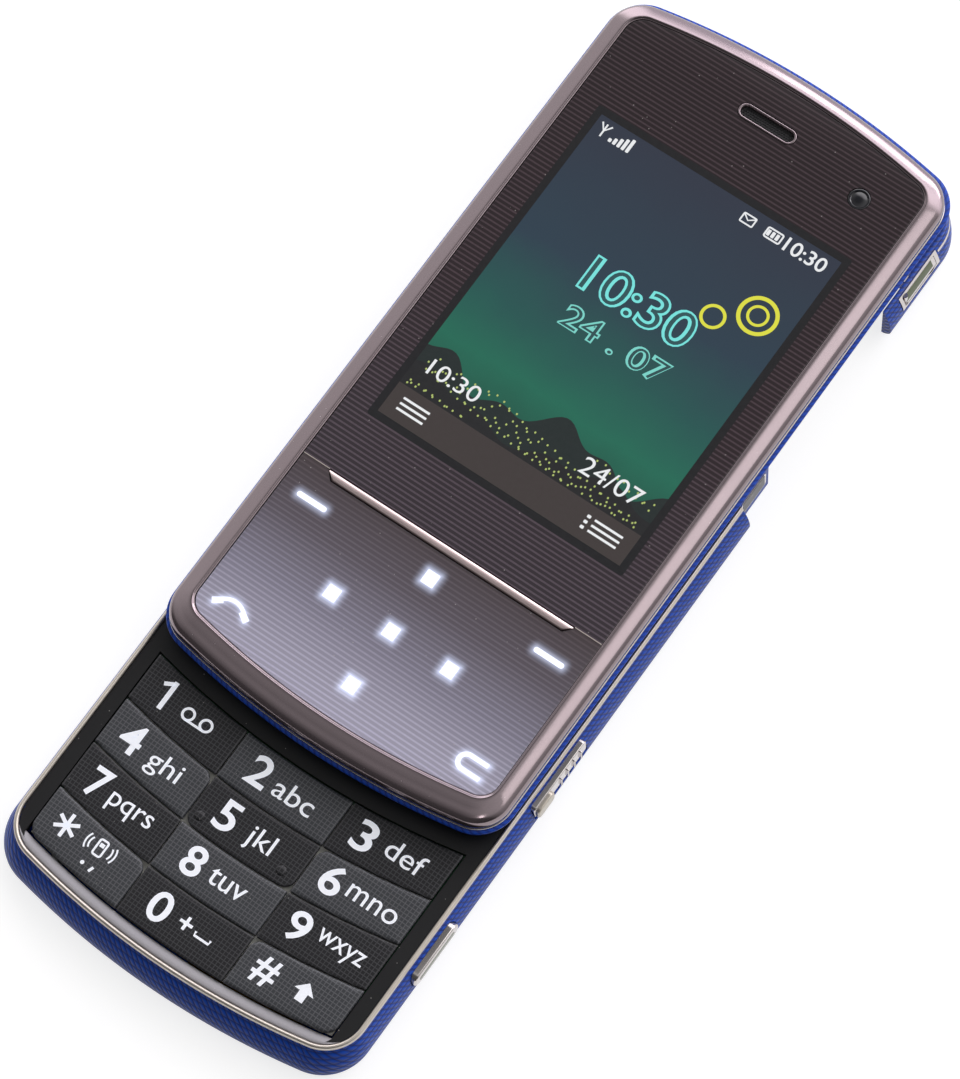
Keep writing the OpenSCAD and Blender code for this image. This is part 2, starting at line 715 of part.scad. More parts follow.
module battery_contacts() {
  color("goldenrod") {
    y = battery_y - battery_l / 2 - 0.2;
    box([-5, y - 3, battery_z + 0.3], [5, y - 0.5, board_z]);
    for (x = [-3, 0, 3]) box([x - 0.5, y - 0.6, battery_z + 1], [x + 0.5, y, battery_z + 2]);
  }
}

module battery_cover() {
  color("mediumblue") intersection() {
    loft(skin_rings(0, casing_h));
    cover_space(-fit);
  }
}

// A flat card socket from x0 to x1, open towards -Y, that hangs h below the board
module card_socket(x0, x1, h) {
  box([x0, card_y - socket_w / 2, board_z - h], [x1, card_y + socket_w / 2, board_z]);
}

// The card's own room in such a socket, drawn in by clear
module card_room(x0, x1, h, clear) {
  box([x0 + card_rim + clear, card_y - socket_w / 2 - 1 + clear, board_z - h + card_wall + clear],
      [x1 - card_rim - clear, card_y + socket_w / 2 - card_rim - clear, board_z - card_wall - clear]);
}

module sim_socket() {
  color("silver") difference() {
    card_socket(sim_x, sim_x + sim_l, sim_h);
    card_room(sim_x, sim_x + sim_l, sim_h, 0);
    // Opening through which the card's chip meets the finger
    box([sim_x + 5, card_y - socket_w, 0], [sim_x + sim_l - 5, card_y + 4, board_z - sim_h / 2]);
  }
}

module sim_card() {
  color("khaki") card_room(sim_x, sim_x + sim_l, sim_h, card_fit);
}

module memory_socket() {
  color("gray") difference() {
    card_socket(memory_x, memory_x + memory_w, memory_h);
    card_room(memory_x, memory_x + memory_w, memory_h, 0);
  }
}

module memory_card() {
  color([0.1, 0.1, 0.1]) card_room(memory_x, memory_x + memory_w, memory_h, card_fit);
}

module loudspeaker() {
  color("dimgray") {
    translate([0, speaker_y, floor_t + eps]) stadium(speaker_l, speaker_l / 2, 2.4);
    translate([0, speaker_y, floor_t + 2.4]) cylinder(h = board_z - floor_t - 2.4, r = 2.6);
  }
}

// Cylindrical motor lying along X near the bottom end, with its bearing bore for the weight's shaft
module vibration_motor() {
  color("lightgray") translate([motor_x, motor_y, motor_z]) rotate([0, 90, 0]) difference() {
    cylinder(h = motor_l, r = motor_d / 2);
    translate([0, 0, -1]) cylinder(h = 6, r = motor_shaft_r + fit);
  }
}

module vibration_weight() {
  color("darkgoldenrod") translate([motor_x, motor_y, motor_z]) rotate([0, 90, 0]) {
    translate([0, 0, -3.3]) cylinder(h = 7.3, r = motor_shaft_r);
    translate([0, 0, -3.3]) difference() {
      cylinder(h = 3, r = motor_d / 2 - 0.1);
      box([motor_shaft_r * 0.5, -motor_d, -1], [motor_d, motor_d, 4]);
    }
  }
}

module microphone() {
  color("silver") translate([5.85 - inner_hw, y_bot + 6.8, board_z - 1.2]) cylinder(h = 1.5, r = 1.2);
}

module antenna_strip() {
  color("gold") {
    y = y_bot + 4.8;
    z = ledge_z + eps;
    box([2, y, z], [18, y + 1.6, z + 0.3]);
    box([2, y, z], [3.4, y + 3.4, z + 0.3]);
    box([2, y + 2.6, z], [3.4, y + 3.4, board_z]);
  }
}

module casing_screws() {
  color("silver") for (p = screw_spots) translate([p[0], p[1], 0]) {
    translate([0, 0, screw_head_z + 0.4]) cylinder(h = screw_top - screw_head_z - 0.4, r = screw_r);
    translate([0, 0, screw_head_z]) difference() {
      cylinder(h = head_t - 0.05, r = head_r);
      for (a = [0, 90]) rotate(a) translate([-0.8, -0.15, -1]) cube([1.6, 0.3, 1.3]);
    }
  }
}

// ---- Upper half -----------------------------------------------------------------------------------

module slider_frame() {
  on_slider() color([0.47, 0.41, 0.4]) difference() {
    loft([
      at_z(slider_outline(0), frame_z),
      at_z(slider_outline(0), frame_z + 0.9),
      at_z(slider_outline(0.18), frame_z + 1.5),
      at_z(slider_outline(0.5), phone_t - 0.4),
      at_z(slider_outline(1.1), phone_t)]);
    slab(window_outline(0), window_z0, phone_t + 1);
    slab(slider_outline(slider_wall), frame_z - 1, window_z0 + eps);
  }
}

module side_band() {
  on_slider() color([0.08, 0.2, 0.55]) difference() {
    loft([
      at_z(band_outline(rim_out + 0.5), z0),
      at_z(band_outline(0.35), z0 + 0.5),
      at_z(band_outline(0.05), frame_z - 0.75),
      at_z(band_outline(0), frame_z - 0.45),
      at_z(band_outline(0.05), frame_z - 0.15),
      at_z(band_outline(0.2), frame_z)]);
    slab(slider_outline(slider_wall), z0 - 1, frame_z + 1);
  }
}

// The head's skin: the lower body's outline above its inner wall, with cheeks beside the shoulders
module head_skin() {
  translate([0, -slider_mid, 0]) loft(concat(skin_rings(head_z, casing_h),
    [at_z(lower_outline(side_lean + 0.5, end_lean, 0.7), z0)]));
}

module head_cap() {
  on_slider() color("royalblue") difference() {
    head_skin();
    box([-half_w - 1, -phone_l, -1], [half_w + 1, cheek_y, z0 + 1]);
    box([-half_w + cheek_t + 0.1, -phone_l, -1], [half_w - cheek_t - 0.1, head_wall_y, z0 + 1]);
    // Cavity, open into the upper half
    intersection() {
      slab(slider_outline(slider_wall + 0.3), head_z + wall, z0 + 1);
      box([-half_w, head_wall_y + wall, 0], [half_w, phone_l, z0 + 2]);
    }
    // Windows for the camera, the flash and the side door
    translate([camera_x, camera_y, -1]) cylinder(h = 4, r = camera_d / 2 + fit);
    translate([flash_x, camera_y, -1]) cylinder(h = 4, r = flash_d / 2 + fit);
    box([slider_hw - slider_wall - 0.5, door_y - door_l / 2 - door_rim_l - fit,
        door_z - door_h / 2 - door_rim_h - fit],
        [half_w + 1, door_y + door_l / 2 + door_rim_l + fit, door_z + door_h / 2 + door_rim_h + fit]);
  }
}

module front_window() {
  on_slider() color([0.16, 0.13, 0.13]) difference() {
    intersection() {
      slab(window_outline(fit), window_z0, window_z);
      box([-half_w, -split_y + seam / 2, 0], [half_w, phone_l, phone_t]);
    }
    // Recesses for the earpiece and the front lens
    translate([0, ear_y, 0]) stadium(ear_l + 2 * fit, ear_h + 2 * fit, phone_t);
    translate([lens_x, lens_y, 0]) cylinder(h = phone_t, r = lens_d / 2 + fit);
  }
}

// Outline of the end key: a bar with ends cut back at its lower edge
module end_key_shape(clear, z_low, z_high) {
  l = end_key_l / 2 + clear;
  y1 = -split_y + (clear > 0 ? 1 : -seam / 2 - 0.05);
  y0 = -split_y - end_key_w - clear;
  y2 = -split_y - 0.1;
  slab([[1 - l, y0], [l - 1, y0], [l, y2], [l, y1], [-l, y1], [-l, y2]], z_low, z_high);
}

module touch_panel() {
  on_slider() color([0.33, 0.31, 0.34]) difference() {
    intersection() {
      slab(window_outline(fit), window_z0, window_z);
      box([-half_w, -phone_l, 0], [half_w, -split_y - seam / 2, phone_t]);
    }
    end_key_shape(0.12, 0, phone_t);
  }
}

module end_key() {
  on_slider() color("silver") {
    end_key_shape(0, window_z0 + end_key_travel + 0.05, window_z + 0.2);
    // Foot that reaches into the tray
    box([-3, -split_y - end_key_w + 0.2, tray_z + tray_well + end_key_travel + 0.05],
        [3, -split_y - 0.2, window_z]);
  }
}

module earpiece_rim() {
  on_slider() color("silver") translate([0, ear_y, window_z0]) difference() {
    stadium(ear_l, ear_h, window_t + 0.05);
    translate([0, 0, -1]) stadium(ear_l - 0.7, ear_h - 0.7, window_t + 2);
  }
}

module earpiece_mesh() {
  on_slider() color([0.08, 0.08, 0.08]) translate([0, ear_y, window_z0])
    stadium(ear_l - 0.7 - 2 * eps, ear_h - 0.7 - 2 * eps, window_t - 0.35);
}

module earpiece_speaker() {
  on_slider() color("dimgray") translate([0, ear_y, tray_z - 1.7]) stadium(10, 4.6, 1.7);
}

module front_lens() {
  on_slider() color([0.05, 0.05, 0.06]) translate([lens_x, lens_y, window_z0])
    cylinder(h = window_t - 0.05, r = lens_d / 2);
}

module display_module() {
  on_slider() color([0.35, 0.38, 0.45])
    box([-screen_w / 2 - 1.2, screen_y - screen_h / 2 - 3, window_z0 - 2.2],
        [screen_w / 2 + 1.2, screen_y + screen_h / 2 + 1, window_z0]);
}

module inner_tray() {
  on_slider() color([0.12, 0.12, 0.13]) difference() {
    slab(slider_outline(slider_wall + fit), tray_z, window_z0);
    box([-screen_w / 2 - 1.2 - fit, screen_y - screen_h / 2 - 3 - fit, 0],
        [screen_w / 2 + 1.2 + fit, screen_y + screen_h / 2 + 1 + fit, phone_t]);
    translate([0, ear_y, 0]) stadium(ear_l - 1, ear_h - 1, phone_t);
    // Room under the end key's foot, and the light guides' wells
    box([-3.3, -split_y - end_key_w, tray_z + tray_well], [3.3, -split_y, phone_t]);
    guide_shapes(fit);
    for (p = slider_screw_spots) translate([p[0], p[1], 0]) cylinder(h = tray_z + 0.5, r = screw_r + fit);
  }
}

// Blocks that carry light up to the marks on the touch panel
module guide_shapes(clear) {
  d = mark / 2 + clear;
  for (p = mark_spots) box([p[0] - d, p[1] - d, tray_z - clear], [p[0] + d, p[1] + d, window_z0]);
  for (p = side_mark_spots)
    box([p[0] - side_mark_l / 2 - clear, p[1] - d, tray_z - clear],
        [p[0] + side_mark_l / 2 + clear, p[1] + d, window_z0]);
}

module light_guides() {
  on_slider() color([0.9, 0.93, 1]) guide_shapes(0);
}

module slider_board() {
  on_slider() color("darkgreen") difference() {
    slab(bowed(core_hw - 0.4, core_yb + 0.5, screen_y - screen_h / 2 - 3.6, end_r - 2, end_r * 20,
      core_r - 0.4, 0.5), tray_z - 0.6, tray_z);
    for (p = slider_screw_spots) translate([p[0], p[1], 0]) cylinder(h = phone_t, r = 1.6);
  }
}

module back_plate() {
  on_slider() color([0.6, 0.6, 0.63]) difference() {
    slab(slider_outline(slider_wall + fit), z0, z0 + plate_t);
    box([-half_w, head_wall_y + 0.6, 0], [half_w, phone_l, phone_t]);
    for (p = slider_screw_spots) translate([p[0], p[1], 0]) cylinder(h = phone_t, r = screw_r + 0.1);
  }
}

// The carriage runs under the rail lips and carries the back plate on a raised middle
module slide_carriage() {
  on_slider() color([0.75, 0.75, 0.77]) {
    hw = rail_hw - 0.5 - fit;
    neck = rail_hw - rail_lip_w - 2 * fit;
    y1 = carriage_yt;
    difference() {
      union() {
        box([-hw, y1 - carriage_l, tongue_z], [hw, y1, tongue_z + tongue_t]);
        box([-neck, y1 - carriage_l, tongue_z + tongue_t - eps], [neck, y1, z0]);
      }
      // Window for the spring
      window_x = spring_x + spring_r + 1;
      window_y = spring_r + 0.5;
      translate([0, y1 - carriage_l / 2, tongue_z + spring_floor])
        box([-window_x, -window_y, 0], [window_x, window_y, z0]);
    }
  }
}

// Flat spring with two loops in the carriage's window
module slide_spring() {
  on_slider() color([0.8, 0.8, 0.8])
  translate([0, carriage_yt - carriage_l / 2, tongue_z + spring_floor + eps]) {
    for (s = [-1, 1]) translate([s * spring_x, 0, 0]) difference() {
      cylinder(h = spring_wire, r = spring_r);
      translate([0, 0, -1]) cylinder(h = 1 + 2 * spring_wire, r = spring_r - spring_wire);
    }
    box([-spring_x, spring_r - spring_wire, 0], [spring_x, spring_r - 0.05, spring_wire]);
  }
}

module slider_screws() {
  on_slider() color("silver") for (p = slider_screw_spots) translate([p[0], p[1], z0 + 0.05])
    cylinder(h = tray_z - z0 + 0.4, r = screw_r);
}

module camera_module() {
  on_slider() color([0.2, 0.2, 0.22]) {
    z = head_z + wall + eps;
    box([camera_x - 4.2, camera_y - 4, z + 1.2], [camera_x + 4.2, camera_y + 4, z + 5]);
    translate([camera_x, camera_y, z]) cylinder(h = 1.3, r = 3.2);
    box([flash_x - 1.4, camera_y - 1.4, z], [flash_x + 1.4, camera_y + 1.4, z + 1.2]);
  }
}

module camera_ring() {
  on_slider() color("silver") {
    translate([camera_x, camera_y, head_z + 0.02]) difference() {
      cylinder(h = wall - 0.02, r = camera_d / 2);
      translate([0, 0, -1]) cylinder(h = 5, r = camera_d / 2 - 1.3);
    }
    translate([flash_x, camera_y, head_z + 0.05]) cylinder(h = wall - 0.05, r = flash_d / 2);
  }
}

module camera_lens() {
  on_slider() color([0.06, 0.06, 0.09]) translate([camera_x, camera_y, head_z + 0.25])
    cylinder(h = 0.7, r = camera_d / 2 - 1.3 - eps);
}

// ---- Side door ------------------------------------------------------------------------------------

module door_surround() {
  on_slider() color("silver") difference() {
    box([half_w - 2.5, door_y - door_l / 2 - door_rim_l, door_z - door_h / 2 - door_rim_h],
        [door_face, door_y + door_l / 2 + door_rim_l, door_z + door_h / 2 + door_rim_h]);
    box([door_face - door_t - fit, door_pivot_y, door_z - door_h / 2 - fit],
        [half_w + 1, door_y + door_l / 2 + fit, door_z + door_h / 2 + fit]);
    translate([door_face - door_t / 2, door_pivot_y, door_z - door_h / 2 - fit])
      cylinder(h = door_h + 2 * fit, r = door_t / 2 + fit);
    box([door_face - door_t / 2, door_pivot_y - door_t / 2 - fit, door_z - door_h / 2 - fit],
        [half_w + 1, door_pivot_y + eps, door_z + door_h / 2 + fit]);
    // Mouth of the jack
    translate([0, jack_y, door_z]) rotate([0, 90, 0]) cylinder(h = half_w + 1, r = jack_r);
    box([0, -phone_l, 0], [half_w - cheek_t - 0.1, head_wall_y, z0]);
  }
}

module side_door() {
  on_slider() color([0.25, 0.3, 0.08]) {
    box([door_face - door_t, door_pivot_y, door_z - door_h / 2],
        [door_face, door_y + door_l / 2, door_z + door_h / 2]);
    translate([door_face - door_t / 2, door_pivot_y, door_z - door_h / 2])
      cylinder(h = door_h, r = door_t / 2);
  }
}

module side_jack() {
  on_slider() color([0.1, 0.1, 0.1]) difference() {
    box([half_w - 11, jack_y - 1.6, door_z - 1.35], [half_w - 2.5 - eps, jack_y + 1.6, door_z + 1.35]);
    translate([half_w - 10, jack_y, door_z]) rotate([0, 90, 0]) cylinder(h = 11, r = jack_r);
  }
}

rear_casing();
chrome_bead();
keypad_bezel();
chin_strip();
key_mat();
key_1();
key_2();
key_3();
key_4();
key_5();
key_6();
key_7();
key_8();
key_9();
key_star();
key_0();
key_hash();
side_rocker();
side_key();
side_switches();
slide_rails();
main_board();
shield_cans();
battery();
battery_contacts();
battery_cover();
sim_socket();
sim_card();
memory_socket();
memory_card();
loudspeaker();
vibration_motor();
vibration_weight();
microphone();
antenna_strip();
casing_screws();
slider_frame();
side_band();
head_cap();
front_window();
touch_panel();
end_key();
earpiece_rim();
earpiece_mesh();
earpiece_speaker();
front_lens();
display_module();
inner_tray();
light_guides();
slider_board();
back_plate();
slide_carriage();
slide_spring();
slider_screws();
camera_module();
camera_ring();
camera_lens();
side_door();
door_surround();
side_jack();
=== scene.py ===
"""Looks for a slider phone, slid open and lying on its back.

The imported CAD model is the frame. This script dresses what stays of it, and puts finer
skins, keys, windows and trim over the pieces whose CAD solids are faceted or plain.
Sizes in the classes are millimetres in the phone's own frame: +X to the right of someone
who looks at the screen, +Y towards the earpiece, +Z out of the front.
"""

from __future__ import annotations

import logging
import math
from collections.abc import Callable, Iterable, Sequence
from dataclasses import dataclass, field
from enum import Enum

import bmesh
import bpy
from mathutils import Matrix, Vector
from mathutils.bvhtree import BVHTree

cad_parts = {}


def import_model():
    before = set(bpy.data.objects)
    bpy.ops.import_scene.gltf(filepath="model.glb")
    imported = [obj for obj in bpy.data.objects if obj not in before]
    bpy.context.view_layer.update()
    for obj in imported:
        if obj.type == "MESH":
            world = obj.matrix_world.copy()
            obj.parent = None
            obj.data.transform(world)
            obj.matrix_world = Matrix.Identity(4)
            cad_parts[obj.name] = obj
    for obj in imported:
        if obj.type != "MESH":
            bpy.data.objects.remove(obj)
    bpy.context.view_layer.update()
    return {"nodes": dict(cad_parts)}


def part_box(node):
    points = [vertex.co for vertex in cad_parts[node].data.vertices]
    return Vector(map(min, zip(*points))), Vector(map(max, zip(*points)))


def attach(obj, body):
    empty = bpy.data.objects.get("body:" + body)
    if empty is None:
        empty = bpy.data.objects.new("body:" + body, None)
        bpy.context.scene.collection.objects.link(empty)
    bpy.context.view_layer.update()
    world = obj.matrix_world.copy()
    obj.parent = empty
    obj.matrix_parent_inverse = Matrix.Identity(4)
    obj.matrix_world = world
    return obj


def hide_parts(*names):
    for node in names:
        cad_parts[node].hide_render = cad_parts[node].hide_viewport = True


LOG = logging.getLogger("slider_phone")
MM = 0.001

Point2 = tuple[float, float]
Point3 = tuple[float, float, float]
Colour = tuple[float, float, float]
Outline = list[Point2]
Object = bpy.types.Object
Material = bpy.types.Material
Socket = bpy.types.NodeSocket


# ---- Outlines ----


def arc(cx: float, cy: float, r: float, a0: float, a1: float, n: int) -> Outline:
    """Points of an arc.

    Args:
        cx: Centre's x.
        cy: Centre's y.
        r: Radius.
        a0: First angle, in degrees.
        a1: Last angle, in degrees.
        n: Number of steps.

    Returns:
        The n + 1 points from a0 to a1.
    """
    turns = [math.radians(a0 + (a1 - a0) * i / n) for i in range(n + 1)]
    return [(cx + r * math.cos(t), cy + r * math.sin(t)) for t in turns]


@dataclass(frozen=True)
class Bowed:
    """A plate outline with straight sides, bowed ends and round corners."""

    half_width: float
    low: float
    high: float
    low_radius: float
    high_radius: float
    low_corner: float
    high_corner: float

    def inset(self, d: float) -> Bowed:
        """The same outline drawn in.

        Args:
            d: How far.

        Returns:
            An outline with as many points.
        """
        return Bowed(
            self.half_width - d,
            self.low + d,
            self.high - d,
            self.low_radius - d,
            self.high_radius - d,
            max(self.low_corner - d, 0.02),
            max(self.high_corner - d, 0.02),
        )

    def points(self, ends: int = 40, corners: int = 14, sides: int = 30) -> Outline:
        """The outline's points, anticlockwise from the right side's lower end.

        Args:
            ends: Steps along each bowed end.
            corners: Steps round each corner.
            sides: Steps along each straight side.

        Returns:
            As many points for any inset, so that two insets can be joined ring to ring.
        """
        hw, cb, ct = self.half_width, self.low_corner, self.high_corner
        rise_t = math.sqrt((self.high_radius - ct) ** 2 - (hw - ct) ** 2)
        rise_b = math.sqrt((self.low_radius - cb) ** 2 - (hw - cb) ** 2)
        at = math.degrees(math.atan2(rise_t, hw - ct))
        ab = math.degrees(math.atan2(rise_b, hw - cb))
        yt, yb = self.high - self.high_radius, self.low + self.low_radius
        right_low = arc(hw - cb, yb - rise_b, cb, -ab, 0, corners)
        right_high = arc(hw - ct, yt + rise_t, ct, 0, at, corners)
        left_high = arc(ct - hw, yt + rise_t, ct, 180 - at, 180, corners)
        left_low = arc(cb - hw, yb - rise_b, cb, 180, 180 + ab, corners)
        return [
            *right_low,
            *between(right_low[-1], right_high[0], sides),
            *right_high,
            *arc(0, yt, self.high_radius, at, 180 - at, ends)[1:-1],
            *left_high,
            *between(left_high[-1], left_low[0], sides),
            *left_low,
            *arc(0, yb, self.low_radius, 180 + ab, 360 - ab, ends)[1:-1],
        ]


def between(a: Point2, b: Point2, n: int) -> Outline:
    """The points between two ends, evenly spaced.

    Args:
        a: One end.
        b: The other end.
        n: Number of steps.

    Returns:
        The n - 1 points between them.
    """
    return [
        (a[0] + (b[0] - a[0]) * i / n, a[1] + (b[1] - a[1]) * i / n)
        for i in range(1, n)
    ]


def stadium(length: float, width: float, n: int = 16) -> Outline:
    """A slot with round ends, along X.

    Args:
        length: Its length.
        width: Its width.
        n: Steps round each end.

    Returns:
        Its outline about the origin.
    """
    r = width / 2
    x = length / 2 - r
    return arc(x, 0, r, -90, 90, n) + arc(-x, 0, r, 90, 270, n)


def rounded_box(w: float, h: float, r: float, n: int = 6) -> Outline:
    """A rectangle with round corners.

    Args:
        w: Its width.
        h: Its height.
        r: Radius of its corners.
        n: Steps round each corner.

    Returns:
        Its outline about the origin.
    """
    x, y = w / 2 - r, h / 2 - r
    return (
        arc(x, -y, r, -90, 0, n)
        + arc(x, y, r, 0, 90, n)
        + arc(-x, y, r, 90, 180, n)
        + arc(-x, -y, r, 180, 270, n)
    )


def moved(points: Iterable[Point2], dx: float, dy: float) -> Outline:
    """The points shifted by (dx, dy)."""
    return [(x + dx, y + dy) for x, y in points]


def ring_at(points: Iterable[Point2], z: float) -> list[Point3]:
    """The points at height z."""
    return [(x, y, z) for x, y in points]


# ---- Meshes ----


@dataclass(frozen=True)
class Solid:
    """Mesh data on its way to an object: points in millimetres, faces and UVs."""

    points: list[Point3]
    faces: list[tuple[int, ...]]
    uvs: list[list[Point2]] | None = None


def loft(rings: Sequence[Sequence[Point3]], closed: bool = False, capped: bool = True) -> Solid:
    """Joins rings of equally many points, lowest ring first.

    Args:
        rings: Anticlockwise rings of points.
        closed: Whether the last ring joins the first, as round a hollow section.
        capped: Whether the first and last rings are closed with a face.

    Returns:
        The solid, with UVs in millimetres along and up the skin.
    """
    n = len(rings[0])
    along = [0.0]
    for i in range(n):
        a, b = rings[0][i], rings[0][(i + 1) % n]
        along.append(along[-1] + math.dist(a, b))
    up = [0.0]
    for low, high in zip(rings, [*rings[1:], rings[0]]):
        up.append(up[-1] + math.dist(low[0], high[0]))
    points = [p for ring in rings for p in ring]
    faces: list[tuple[int, ...]] = []
    uvs: list[list[Point2]] = []
    m = len(rings)
    for j in range(m if closed else m - 1):
        k = (j + 1) % m
        for i in range(n):
            faces.append((j * n + i, j * n + (i + 1) % n, k * n + (i + 1) % n, k * n + i))
            u0, u1, v0, v1 = along[i], along[i + 1], up[j], up[j + 1]
            uvs.append([(u0, v0), (u1, v0), (u1, v1), (u0, v1)])
    if capped and not closed:
        faces.append(tuple(range(n - 1, -1, -1)))
        uvs.append([(p[0], p[1]) for p in reversed(rings[0])])
        faces.append(tuple(range((m - 1) * n, m * n)))
        uvs.append([(p[0], p[1]) for p in rings[-1]])
    return Solid(points, faces, uvs)


def plate(outline: Outline, low: float, high: float) -> Solid:
    """A flat plate of an outline between two heights."""
    return loft([ring_at(outline, low), ring_at(outline, high)])


def join(solids: Iterable[Solid]) -> Solid:
    """Several solids as one.

    Args:
        solids: The solids.

    Returns:
        One solid with all their points, faces and UVs.
    """
    points: list[Point3] = []
    faces: list[tuple[int, ...]] = []
    uvs: list[list[Point2]] = []
    for s in solids:
        base = len(points)
        points += s.points
        faces += [tuple(base + i for i in f) for f in s.faces]
        uvs += s.uvs or [[(s.points[i][0], s.points[i][1]) for i in f] for f in s.faces]
    return Solid(points, faces, uvs)


def box_solid(low: Point3, high: Point3) -> Solid:
    """A box between two corners."""
    (x0, y0, z0), (x1, y1, z1) = low, high
    return plate([(x0, y0), (x1, y0), (x1, y1), (x0, y1)], z0, z1)


def make_object(name: str, solid: Solid, smooth: float = 32.0) -> Object:
    """Makes a mesh object from a solid.

    Args:
        name: The object's name.
        solid: Points in millimetres, faces and UVs.
        smooth: Edges sharper than this many degrees stay sharp.

    Returns:
        The linked object, at the origin, with its place in its mesh.
    """
    mesh = bpy.data.meshes.new(name)
    mesh.from_pydata([Vector(p) * MM for p in solid.points], [], solid.faces)
    if solid.uvs:
        layer = mesh.uv_layers.new(name="Skin")
        flat = [uv for face in solid.uvs for uv in face]
        layer.data.foreach_set("uv", [c * MM for uv in flat for c in uv])
    mesh.validate()
    obj = bpy.data.objects.new(name, mesh)
    bpy.context.scene.collection.objects.link(obj)
    shade(obj, smooth)
    return obj


def shade(obj: Object, angle: float) -> None:
    """Shades a mesh smooth.

    Args:
        obj: The mesh object.
        angle: Edges sharper than this many degrees stay sharp.
    """
    bm = bmesh.new()
    bm.from_mesh(obj.data)
    limit = math.radians(angle)
    for face in bm.faces:
        face.smooth = True
    for edge in bm.edges:
        edge.smooth = edge.is_manifold and edge.calc_face_angle(0) < limit
    bm.to_mesh(obj.data)
    bm.free()


def finished(obj: Object) -> Object:
    """Applies an object's modifiers, and leaves a plain mesh.

    Args:
        obj: A mesh, text or curve object.

    Returns:
        A mesh object of the same name, at the origin.
    """
    depsgraph = bpy.context.evaluated_depsgraph_get()
    mesh = bpy.data.meshes.new_from_object(obj.evaluated_get(depsgraph), depsgraph=depsgraph)
    mesh.transform(obj.matrix_world)
    name = obj.name
    bpy.data.objects.remove(obj)
    made = bpy.data.objects.new(name, mesh)
    made.name = name
    bpy.context.scene.collection.objects.link(made)
    return made


def carve(
    obj: Object, tools: Iterable[Solid], keep_common: bool = False, smooth: float = 32.0
) -> Object:
    """Cuts solids out of a mesh, or keeps what it shares with them.

    Args:
        obj: A closed mesh.
        tools: The solids to cut with.
        keep_common: Whether to keep only the shared part.
        smooth: Edges sharper than this many degrees stay sharp.

    Returns:
        The cut mesh as a new object of the same name.
    """
    for tool in tools:
        cutter = make_object("cutter", tool)
        cut = obj.modifiers.new("cut", "BOOLEAN")
        cut.operation = "INTERSECT" if keep_common else "DIFFERENCE"
        cut.solver = "EXACT"
        cut.object = cutter
        obj = finished(obj)
        bpy.data.objects.remove(cutter)
    shade(obj, smooth)
    return obj


# ---- Node trees ----


class Tree:
    """Short hand for placing and joining the nodes of one tree."""

    def __init__(self, tree: bpy.types.NodeTree) -> None:
        """Keeps the tree."""
        self.tree = tree

    def add(self, kind: str, *inputs: object, **settings: object) -> bpy.types.Node:
        """Places a node.

        Args:
            kind: The node's type name, without the ShaderNode prefix where it has one.
            inputs: One value or output socket for each input in turn, None to leave it.
            settings: Properties of the node.

        Returns:
            The node.
        """
        prefix = "" if kind.startswith(
            ("ShaderNode", "GeometryNode", "FunctionNode", "NodeGroup")
        ) else "ShaderNode"
        node = self.tree.nodes.new(prefix + kind)
        for key, value in settings.items():
            setattr(node, key, value)
        for socket, value in zip(node.inputs, inputs):
            self.feed(socket, value)
        return node

    def feed(self, socket: Socket, value: object) -> None:
        """Links an output to a socket, or sets the socket's own value.

        Args:
            socket: The input socket.
            value: An output socket, a value, or None to leave it.
        """
        if value is None:
            return
        if isinstance(value, Socket):
            self.tree.links.new(value, socket)
        elif isinstance(value, tuple) and len(value) == 3 and socket.type == "RGBA":
            socket.default_value = (*value, 1.0)
        else:
            socket.default_value = value

    def math(self, operation: str, *values: object, clamp: bool = False) -> Socket:
        """A Math node's result."""
        return self.add("Math", *values, operation=operation, use_clamp=clamp).outputs[0]

    def vector(self, operation: str, *values: object) -> Socket:
        """A Vector Math node's vector result."""
        return self.add("VectorMath", *values, operation=operation).outputs["Vector"]

    def mix(self, share: object, a: object, b: object, blend: str = "MIX") -> Socket:
        """Two colours mixed.

        Args:
            share: How much of the second.
            a: The first colour.
            b: The second colour.
            blend: The blend type.

        Returns:
            The mixed colour.
        """
        node = self.add("Mix", data_type="RGBA", blend_type=blend)
        sockets = {s.identifier: s for s in node.inputs}
        self.feed(sockets["Factor_Float"], share)
        self.feed(sockets["A_Color"], a)
        self.feed(sockets["B_Color"], b)
        return next(s for s in node.outputs if s.identifier == "Result_Color")

    def ramp(self, share: object, *stops: tuple[float, Colour]) -> Socket:
        """A colour ramp.

        Args:
            share: Where on the ramp.
            stops: Places and linear colours, in order.

        Returns:
            The ramp's colour.
        """
        node = self.add("ValToRGB", share)
        ramp = node.color_ramp
        while len(ramp.elements) < len(stops):
            ramp.elements.new(0.5)
        for element, (place, colour) in zip(ramp.elements, stops):
            element.position = place
            element.color = (*colour, 1.0)
        return node.outputs["Color"]

    def span(self, value: object, low: float, high: float, to_low: float = 0, to_high: float = 1) -> Socket:
        """A value mapped smoothly from one span to another, and held at its ends."""
        node = self.add("MapRange", value, low, high, to_low, to_high, interpolation_type="SMOOTHSTEP")
        return node.outputs[0]


def linear(colour: Colour) -> Colour:
    """A display colour as the linear colour that a shader takes.

    Args:
        colour: Red, green and blue from 0 to 255.

    Returns:
        Red, green and blue from 0 to 1.
    """
    return tuple(  # type: ignore[return-value]
        c / 255 / 12.92 if c <= 10 else ((c / 255 + 0.055) / 1.055) ** 2.4 for c in colour
    )


